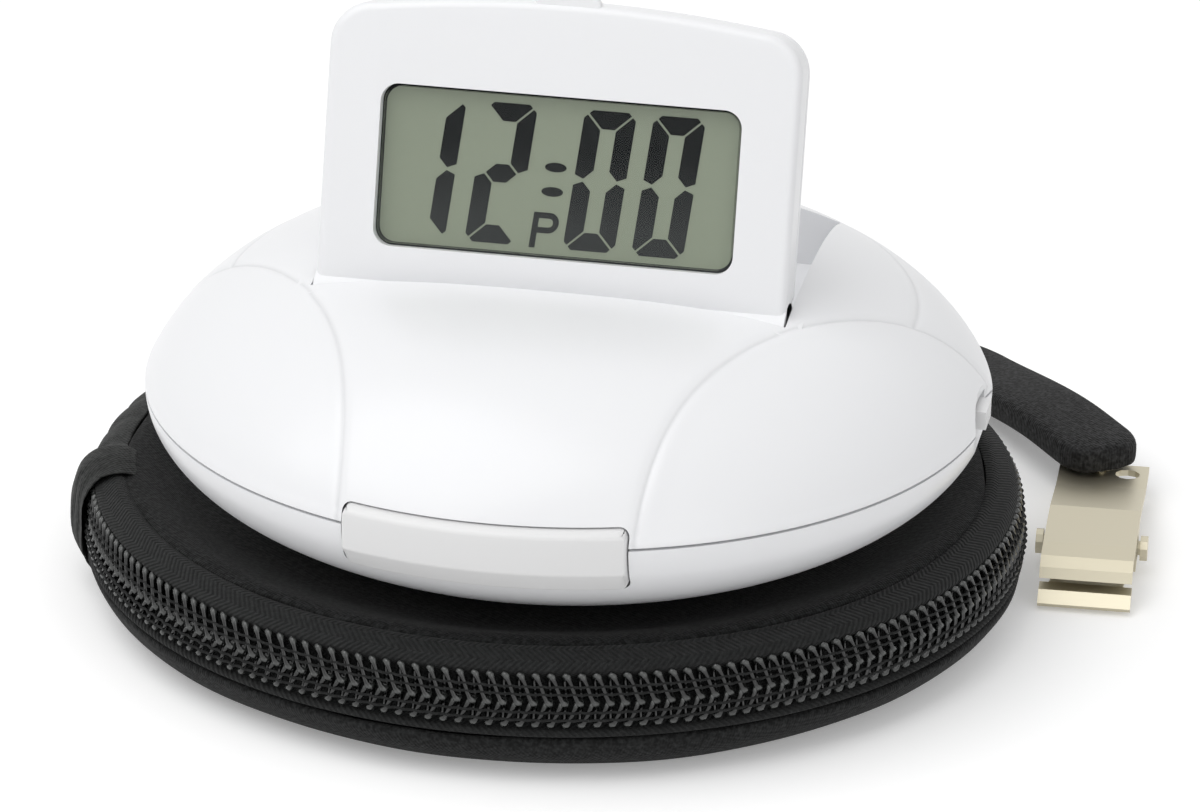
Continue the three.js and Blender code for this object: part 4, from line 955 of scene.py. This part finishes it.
def well_box():
    """Walls and floor of the well, trimmed under the dome."""
    outer = clock_block(
        "well_walls", -WELL_HALF - WELL_WALL, WELL_HALF + WELL_WALL,
        WELL_FRONT - WELL_WALL, WELL_REAR + 4, WELL_FLOOR - WELL_WALL, FAR,
    )
    above = []
    for k in range(120):
        a = math.radians(3 * k)
        ring = []
        for f in dome_shares(40)[::-1]:
            r = max(POLE_R, (CLOCK_R - LINER) * f)
            z = SEAM_Z + (DOME_H - LINER) * dome_rise(f)
            ring.append(tuple(Vector(polar(r, a, z)) + CLOCK))
        for r, z in ((POLE_R, SKY_TOP), (SKY_R, SKY_TOP), (SKY_R, SEAM_Z)):
            ring.append(tuple(Vector(polar(r, a, z)) + CLOCK))
        above.append(ring)
    sky = loft("above_dome", above, loop=True)
    room = clock_block("well_room", -WELL_HALF, WELL_HALF, WELL_FRONT, WELL_REAR, WELL_FLOOR, FAR)
    notch = clock_block("tab_notch", -NOTCH_HALF, NOTCH_HALF, WELL_REAR - 1, NOTCH_REAR, NOTCH_FLOOR, FAR)
    holes = [
        clock_rod("button_way", 2.5, 10 * i - 15, 9, WELL_FLOOR - 3, WELL_FLOOR + 1) for i in range(4)
    ]
    cut(outer, [sky, room, notch, *holes])
    return outer


well = well_box()
well.data.shade_flat()
part(well, "clock", WHITE)


def belly_r(z, inset=0.0):
    """Radius of the lower shell at a height, or of its inside when inset."""
    drop = min(1.0, (SEAM_Z - z) / (BELLY_H - inset))
    return (CLOCK_R - inset) * math.sqrt(max(0.0, 1 - drop * drop))


def lower_shell(name):
    """Lower shell skin with a flat base and a hollow inside."""
    top = SEAM_Z - GAP / 2
    floor = BASE_Z + WALL
    edge = BASE_Z + 0.25
    falling = [top + (edge - top) * i / 40 for i in range(41)]
    rising = [floor + (top - floor) * i / 16 for i in range(17)]
    outer = [(belly_r(z), z) for z in falling]
    outer += [(belly_r(BASE_Z) - 0.35, BASE_Z), (POLE_R, BASE_Z)]
    inner = [(POLE_R, floor)] + [(belly_r(z, WALL), z) for z in rising]
    rings = []
    for k in range(ROUND):
        a = math.radians(360 / ROUND * k)
        rings.append([tuple(Vector(polar(r, a, z)) + CLOCK) for r, z in outer + inner])
    return loft(name, rings, loop=True)


# Places on the underside, from the clock axis
FEET = [(-7, -24), (7, -24)]
DOOR_FEET = [(-15, 20), (15, 20)]
SCREWS = [(-16, -19.5), (16, -19.5), (-31.4, 2), (31.4, 2)]
FOOT_WAY_R = 3.5
SCREW_WAY_R = 2.2
DOOR_FRONT = -12.1
DOOR_HALF = 24.9

# Lower shell with its openings
lower = lower_shell("lower_shell_skin")
cut(lower, [
    *seam_cutters(),
    clock_block("door_way", -DOOR_HALF, DOOR_HALF, DOOR_FRONT, FAR, 0, BASE_Z + WALL + 0.1),
    *[clock_rod("foot_way", FOOT_WAY_R, x, y, 5, BASE_Z + 0.8) for x, y in FEET],
    *[clock_rod("screw_way", SCREW_WAY_R, x, y, 5, BASE_Z + 3.7) for x, y in SCREWS],
])
lower.data.set_sharp_from_angle(angle=SHELL_EDGE)
part(lower, "clock", WHITE, ["lower_shell"])

# Battery door: a slice of the same belly
door = lower_shell("battery_door_skin")
cut(door, [
    clock_block("door_trim_right", DOOR_HALF - GAP, FAR, -FAR, FAR, 0, FAR),
    clock_block("door_trim_left", -FAR, GAP - DOOR_HALF, -FAR, FAR, 0, FAR),
    clock_block("door_trim_front", -FAR, FAR, -FAR, DOOR_FRONT + GAP, 0, FAR),
    clock_block("door_trim_top", -FAR, FAR, -FAR, FAR, BASE_Z + 1.5, FAR),
    *[clock_rod("door_foot_way", FOOT_WAY_R, x, y, 5, BASE_Z + 0.8) for x, y in DOOR_FEET],
])
door.data.set_sharp_from_angle(angle=SHELL_EDGE)
part(door, "battery_door", WHITE, ["battery_door"])

# Snooze bar: a rounded section carried along the front, with ends parallel to the press
BAR_SECTION = [
    (44.75, 28), (45.4, 27.5), (45.5, 26.8), (45.5, 23.5), (43.49, 21), (41.09, 21), (42.7, 28),
]
BAR_TURN = 18.62
BAR_FACE_R = 45.5


def bar_section(degrees):
    a = math.radians(degrees)
    to_end = math.radians(BAR_TURN - abs(degrees + 90)) * CLOCK_R
    short = max(0, BAR_CORNER - to_end)
    drop = BAR_CORNER - math.sqrt(max(0, BAR_CORNER ** 2 - short ** 2))
    low, high = BAR_SECTION[4][1] + drop, BAR_SECTION[0][1] - drop
    x = BAR_FACE_R * math.cos(a)
    made = []
    for r, z in BAR_SECTION:
        front = -math.sqrt(r * r - x * x)
        made.append(tuple(Vector((x, front, min(high, max(low, z)))) + CLOCK))
    return made


BAR_STEPS = 120
bar = loft("snooze_bar_skin", [
    bar_section(-90 + BAR_TURN * (2 * i / BAR_STEPS - 1)) for i in range(BAR_STEPS + 1)
])
soften(bar, 0.22, 3, 30)
part(bar, "snooze_bar", IVORY, ["snooze_bar"])

# Display panel, drawn in its own plane: x across, s up the face, n out of it
UP = Vector((0, math.sin(PANEL_LEAN), math.cos(PANEL_LEAN)))
OUT = Vector((0, -math.cos(PANEL_LEAN), math.sin(PANEL_LEAN)))
PANEL_ORIGIN = CLOCK + Vector((0, *PANEL_FOOT))
BEZEL_BACK = -4.4
COVER_FRONT = -4.7
COVER_BACK = -6.2
LCD_FRONT = -1.7


def on_panel(x, s, n):
    return tuple(PANEL_ORIGIN + Vector((x, 0, 0)) + UP * s + OUT * n)


def panel_outline(inset, foot, foot_corner):
    """Outline of the panel pulled in by inset: crowned top, round corners."""
    half = PANEL_HALF - inset
    corner = PANEL_CORNER - inset * 0.6
    shoulder = PANEL_SHOULDER - inset
    crown = PANEL_TOP - PANEL_SHOULDER
    line = []
    for i in range(9):
        t = math.pi / 2 * i / 8
        x = half - foot_corner * (1 - math.sin(t))
        line.append((x, foot + inset + foot_corner * (1 - math.cos(t))))
    for i in range(13):
        t = math.pi / 2 * i / 12
        line.append((half - corner + corner * math.cos(t), shoulder - corner + corner * math.sin(t)))
    for i in range(1, 40):
        x = (half - corner) * (1 - 2 * i / 40)
        line.append((x, shoulder + crown * (1 - (x / (half - corner)) ** 2)))
    mirrored = [(-x, s) for x, s in line[:22]]
    return line + mirrored[::-1]


def panel_solid(name, profile, foot, foot_corner=1.0):
    """Panel outline lofted through (n, inset) steps."""
    rings = []
    for n, inset in profile:
        rings.append([on_panel(x, s, n) for x, s in panel_outline(inset, foot, foot_corner)])
    return loft(name, rings)


def rounded_box(name, half, low, high, corner, n0, n1):
    """Box with round corners in the plane of the panel."""
    line = rounded_line(half, low, high, corner, 12)
    return loft(name, [[on_panel(x, s, n) for x, s in line] for n in (n0, n1)])


WINDOW_HALF = 19.025
WINDOW_LOW = 3.8
WINDOW_HIGH = 20.8

WINDOW_CORNER = 1.9
EDGE_STEPS = 7


def rolled_edge(n, radius, toward):
    """Quarter round of (n, inset) steps that ends on the face at n."""
    made = []
    for i in range(EDGE_STEPS + 1):
        t = math.pi / 2 * i / EDGE_STEPS
        made.append((n + toward * radius * (1 - math.sin(t)), radius * (1 - math.cos(t))))
    return made


front_edge = rolled_edge(0, 0.9, -1)
bezel = panel_solid("display_bezel_skin", [(BEZEL_BACK, 0.2), (BEZEL_BACK + 0.2, 0), *front_edge], HINGE_S)
cut(bezel, [
    rounded_box("window_way", WINDOW_HALF, WINDOW_LOW, WINDOW_HIGH, WINDOW_CORNER, -3, 1),
    rounded_box(
        "bezel_room", half=PANEL_HALF - WALL, low=0.4, high=PANEL_SHOULDER - WALL, corner=2.5,
        n0=BEZEL_BACK - 1, n1=-1.35,
    ),
])
bezel.data.set_sharp_from_angle(angle=SHELL_EDGE)
part(bezel, "display", WHITE, ["display_bezel"])

barrel = rod(
    "display_barrel", BARREL_R,
    on_panel(-PANEL_HALF, HINGE_S, -BARREL_R), on_panel(PANEL_HALF, HINGE_S, -BARREL_R), 48,
)
barrel.data.set_sharp_from_angle(angle=ROUND_EDGE)
part(barrel, "display", WHITE)

tab = rounded_box("display_tab", half=3.5, low=28.4, high=31.3, corner=1.1, n0=-1.8, n1=-0.3)
soften(tab, 0.35)
part(tab, "display", WHITE)

back_edge = rolled_edge(COVER_BACK, 0.8, 1)
cover = panel_solid("display_cover_skin", [(COVER_FRONT, 0.1), (COVER_FRONT - 0.1, 0), *back_edge], 0.7)
cover.data.set_sharp_from_angle(angle=ROUND_EDGE)
part(cover, "display", WHITE, ["display_cover"])

# Digits of the display: seven-segment shapes on the glass
DIGIT_W = 5.45
DIGIT_H = 14.7
DIGIT_LOW = 4.85
DIGIT_SLANT = 0.1
STROKE = 1.9
SLIT = 0.15
CHAMFER = 0.7
WAIST = 0.4
INK_LOW = LCD_FRONT + 0.02
INK_HIGH = LCD_FRONT + 0.04


def segment_shapes():
    """Outline of each segment in a digit cell, lettered the usual way."""
    w, h, t, g = DIGIT_W, DIGIT_H, STROKE, SLIT
    mid = h / 2
    c = CHAMFER
    top = [
        (c / 2 + g, h - c / 2), (c + g, h), (w - c - g, h),
        (w - c / 2 - g, h - c / 2), (w - t - g, h - t), (t + g, h - t),
    ]
    left = [
        (0, h - c - g), (c / 2, h - c / 2 - g), (t, h - t - g),
        (t, mid + t / 2 + g), (t / 2, mid + g), (0, mid + WAIST + g),
    ]
    bar_points = [
        (t / 2 + g, mid), (t + g, mid + t / 2), (w - t - g, mid + t / 2),
        (w - t / 2 - g, mid), (w - t - g, mid - t / 2), (t + g, mid - t / 2),
    ]

    def flip_x(line):
        return [(w - x, y) for x, y in line]

    def flip_y(line):
        return [(x, h - y) for x, y in line]

    return {
        "a": top, "b": flip_x(left), "c": flip_x(flip_y(left)), "d": flip_y(top),
        "e": flip_y(left), "f": left, "g": bar_points,
    }


def ink(name, line):
    """Thin dark shape on the glass."""
    rings = [[on_panel(x, s, n) for x, s in line] for n in (INK_LOW, INK_HIGH)]
    obj = loft(name, rings)
    obj.data.shade_flat()
    part(obj, "display", INK)


def paint_window_shadow():
    """Painted shadow: a thin dark ring on the glass just inside the recessed window."""
    shapes = []
    for inset in (-0.3, 0.32):
        corner = WINDOW_CORNER - inset * 0.5
        shapes.append(rounded_line(
            WINDOW_HALF - inset, WINDOW_LOW + inset, WINDOW_HIGH - inset, corner, 8,
        ))
    rings = []
    for (x0, s0), (x1, s1) in zip(*shapes):
        rings.append([
            on_panel(x0, s0, INK_LOW), on_panel(x0, s0, INK_HIGH),
            on_panel(x1, s1, INK_HIGH), on_panel(x1, s1, INK_LOW),
        ])
    # Painted shadow ring, drawn in the ink material
    part(loft("display_edge", rings, loop=True), "display", INK)


paint_window_shadow()
SEGMENTS = segment_shapes()
# Each digit: its name, left edge and lit segments
DIGITS = [
    ("1", -17.15, "bc"), ("2", -9.6, "abged"),
    ("0_left", 0.84, "abcdef"), ("0_right", 8.09, "abcdef"),
]
for digit, left, letters in DIGITS:
    for letter in letters:
        ink(f"digit_{digit}_{letter}", [
            (left + x + DIGIT_SLANT * y, DIGIT_LOW + y) for x, y in SEGMENTS[letter]
        ])

DOT_HALF_W = 1.15
DOT_HALF_H = 0.5
for mark, x, s in (("upper", -0.41, 13.27), ("lower", -0.62, 10.71)):
    ink(f"colon_{mark}", [
        (x + DOT_HALF_W * math.cos(t), s + DOT_HALF_H * math.sin(t)) for t in full_turn(24)
    ])

# Small afternoon mark: a stem with a round bow
MARK_LEFT = -2.75
MARK_LOW = 4.76
MARK_H = 3.75
MARK_STROKE = 0.62


def mark_point(x, y):
    return (MARK_LEFT + x + DIGIT_SLANT * y, MARK_LOW + y)


ink("mark_stem", [mark_point(x, y) for x, y in (
    (0, 0), (MARK_STROKE, 0), (MARK_STROKE, MARK_H), (0, MARK_H),
)])
BOW_R = MARK_H * 0.29
BOW_X = 1.7
BOW_LOW = MARK_H - 2 * BOW_R
turns = [math.pi / 2 - math.pi * i / 12 for i in range(13)]
outer_bow, inner_bow = [
    [(BOW_X + r * math.cos(t), MARK_H - BOW_R + r * math.sin(t)) for t in turns]
    for r in (BOW_R, BOW_R - MARK_STROKE)
]
bow = [(MARK_STROKE, MARK_H), *outer_bow, (MARK_STROKE, BOW_LOW)]
bow += [(MARK_STROKE, BOW_LOW + MARK_STROKE), *inner_bow[::-1], (MARK_STROKE, MARK_H - MARK_STROKE)]
ink("mark_bow", [mark_point(x, y) for x, y in bow])

# CAD pieces used as they are: material, slot and edge rounding in millimetres
AS_BUILT = {
    "zip_slider": (NICKEL, "nickel", 0.25), "zip_pull": (NICKEL, "nickel", 0.25),
    "clip_plate": (NICKEL, "nickel", 0.15), "clip_jaw": (NICKEL, "nickel", 0.15),
    "clip_pin": (NICKEL, "nickel", 0.1), "clip_rivet": (NICKEL, "nickel", 0.1),
    "mode_switch": (IVORY, "ivory", 0.3), "display_window": (WINDOW, "window", 0),
    "lcd_glass": (LCD, "lcd", 0), "backlight": (DIFFUSER, "diffuser", 0.1),
    "display_board": (BOARD, "board", 0), "main_board": (BOARD, "board", 0),
    "hinge_pin_right": (STEEL, "steel", 0.1), "hinge_pin_left": (STEEL, "steel", 0.1),
    "battery_tray": (DARK, "dark_plastic", 0.2), "contact_right": (BRASS, "brass", 0.05),
    "contact_left": (BRASS, "brass", 0.05), "cell_a": (CELL, "cell", 0.2), "cell_b": (CELL, "cell", 0.2),
    "cell_spring_a": (STEEL, "steel", 0), "cell_spring_b": (STEEL, "steel", 0),
    "sounder": (DARK, "dark_plastic", 0.2), "vibration_motor": (STEEL, "steel", 0.2),
    "eccentric_weight": (BRASS, "brass", 0.15), "motor_saddle": (DARK, "dark_plastic", 0.15),
}
for side in ("right", "left"):
    AS_BUILT[f"foot_front_{side}"] = (RUBBER, "rubber", 0.2)
    AS_BUILT[f"foot_rear_{side}"] = (RUBBER, "rubber", 0.2)
    AS_BUILT[f"screw_front_{side}"] = (STEEL, "steel", 0.1)
    AS_BUILT[f"screw_side_{side}"] = (STEEL, "steel", 0.1)
for i in range(4):
    AS_BUILT[f"set_button_{i + 1}"] = (IVORY, "ivory", 0.25)
for name, (material, slot, edge) in AS_BUILT.items():
    obj = nodes[name]
    obj.data.materials.clear()
    obj.data.materials.append(material)
    if edge:
        soften(obj, edge)
    else:
        obj.data.shade_smooth()
        obj.data.set_sharp_from_angle(angle=math.radians(35))

# White floor and surroundings, a little brighter to the eye and in reflections than the clock
FLOOR_HALF = 3000
FLOOR_TOP = -0.02
FLOOR_BOTTOM = -4
FLOOR_GLOW = 0.24
LOW_LIGHT = 0.3
OVERHEAD_LIGHT = 0.72


def seen_ray(tree):
    """One for rays from the camera and for mirrored or refracted ones, else zero."""
    path = tree.nodes.new("ShaderNodeLightPath")
    total = path.outputs["Is Camera Ray"]
    for kind in ("Is Glossy Ray", "Is Transmission Ray"):
        step = tree.nodes.new("ShaderNodeMath")
        step.operation = "MAXIMUM"
        tree.links.new(total, step.inputs[0])
        tree.links.new(path.outputs[kind], step.inputs[1])
        total = step.outputs[0]
    return total


def white_floor():
    """Matt white with a glow for seen rays, weak enough for a shadow to show."""
    material = shader("floor_white", (0.88, 0.88, 0.88), 0.9, specular=0.1)
    surface = material.node_tree.nodes["Principled BSDF"]
    glow = math_node(material, "MULTIPLY", seen_ray(material.node_tree), FLOOR_GLOW)
    surface.inputs["Emission Color"].default_value = (1, 1, 1, 1)
    join(material, glow, surface.inputs["Emission Strength"])
    return material


floor = block("floor", -FLOOR_HALF, FLOOR_HALF, -FLOOR_HALF, FLOOR_HALF, FLOOR_BOTTOM, FLOOR_TOP)
floor.data.materials.append(white_floor())


def make_world():
    """Soft surroundings, brighter overhead and plain white where they are seen."""
    world = bpy.data.worlds.new("studio")
    scene.world = world
    world.use_nodes = True
    tree = world.node_tree
    background = tree.nodes["Background"]
    background.inputs["Color"].default_value = (1, 1, 1, 1)
    place = tree.nodes.new("ShaderNodeTexCoord")
    split = tree.nodes.new("ShaderNodeSeparateXYZ")
    tree.links.new(place.outputs["Generated"], split.inputs[0])
    height = tree.nodes.new("ShaderNodeMapRange")
    height.inputs["From Min"].default_value = -0.1
    height.inputs["From Max"].default_value = 0.9
    height.inputs["To Min"].default_value = LOW_LIGHT
    height.inputs["To Max"].default_value = OVERHEAD_LIGHT
    tree.links.new(split.outputs["Z"], height.inputs["Value"])
    blend = tree.nodes.new("ShaderNodeMix")
    blend.inputs["B"].default_value = 1
    tree.links.new(seen_ray(tree), blend.inputs["Factor"])
    tree.links.new(height.outputs["Result"], blend.inputs["A"])
    tree.links.new(blend.outputs["Result"], background.inputs["Strength"])


def area_light(name, place, aim, size, power):
    data = bpy.data.lights.new(name, "AREA")
    data.energy = power
    data.size = size
    obj = bpy.data.objects.new(name, data)
    obj.location = place
    obj.rotation_euler = (Vector(aim) - Vector(place)).to_track_quat("-Z", "Y").to_euler()
    scene.collection.objects.link(obj)


make_world()
area_light("key", place=(-0.35, -0.3, 0.8), aim=(0, 0, 0.02), size=0.9, power=4.4)
area_light("fill", place=(0.5, -0.7, 0.35), aim=(0, 0, 0.03), size=0.6, power=1.0)
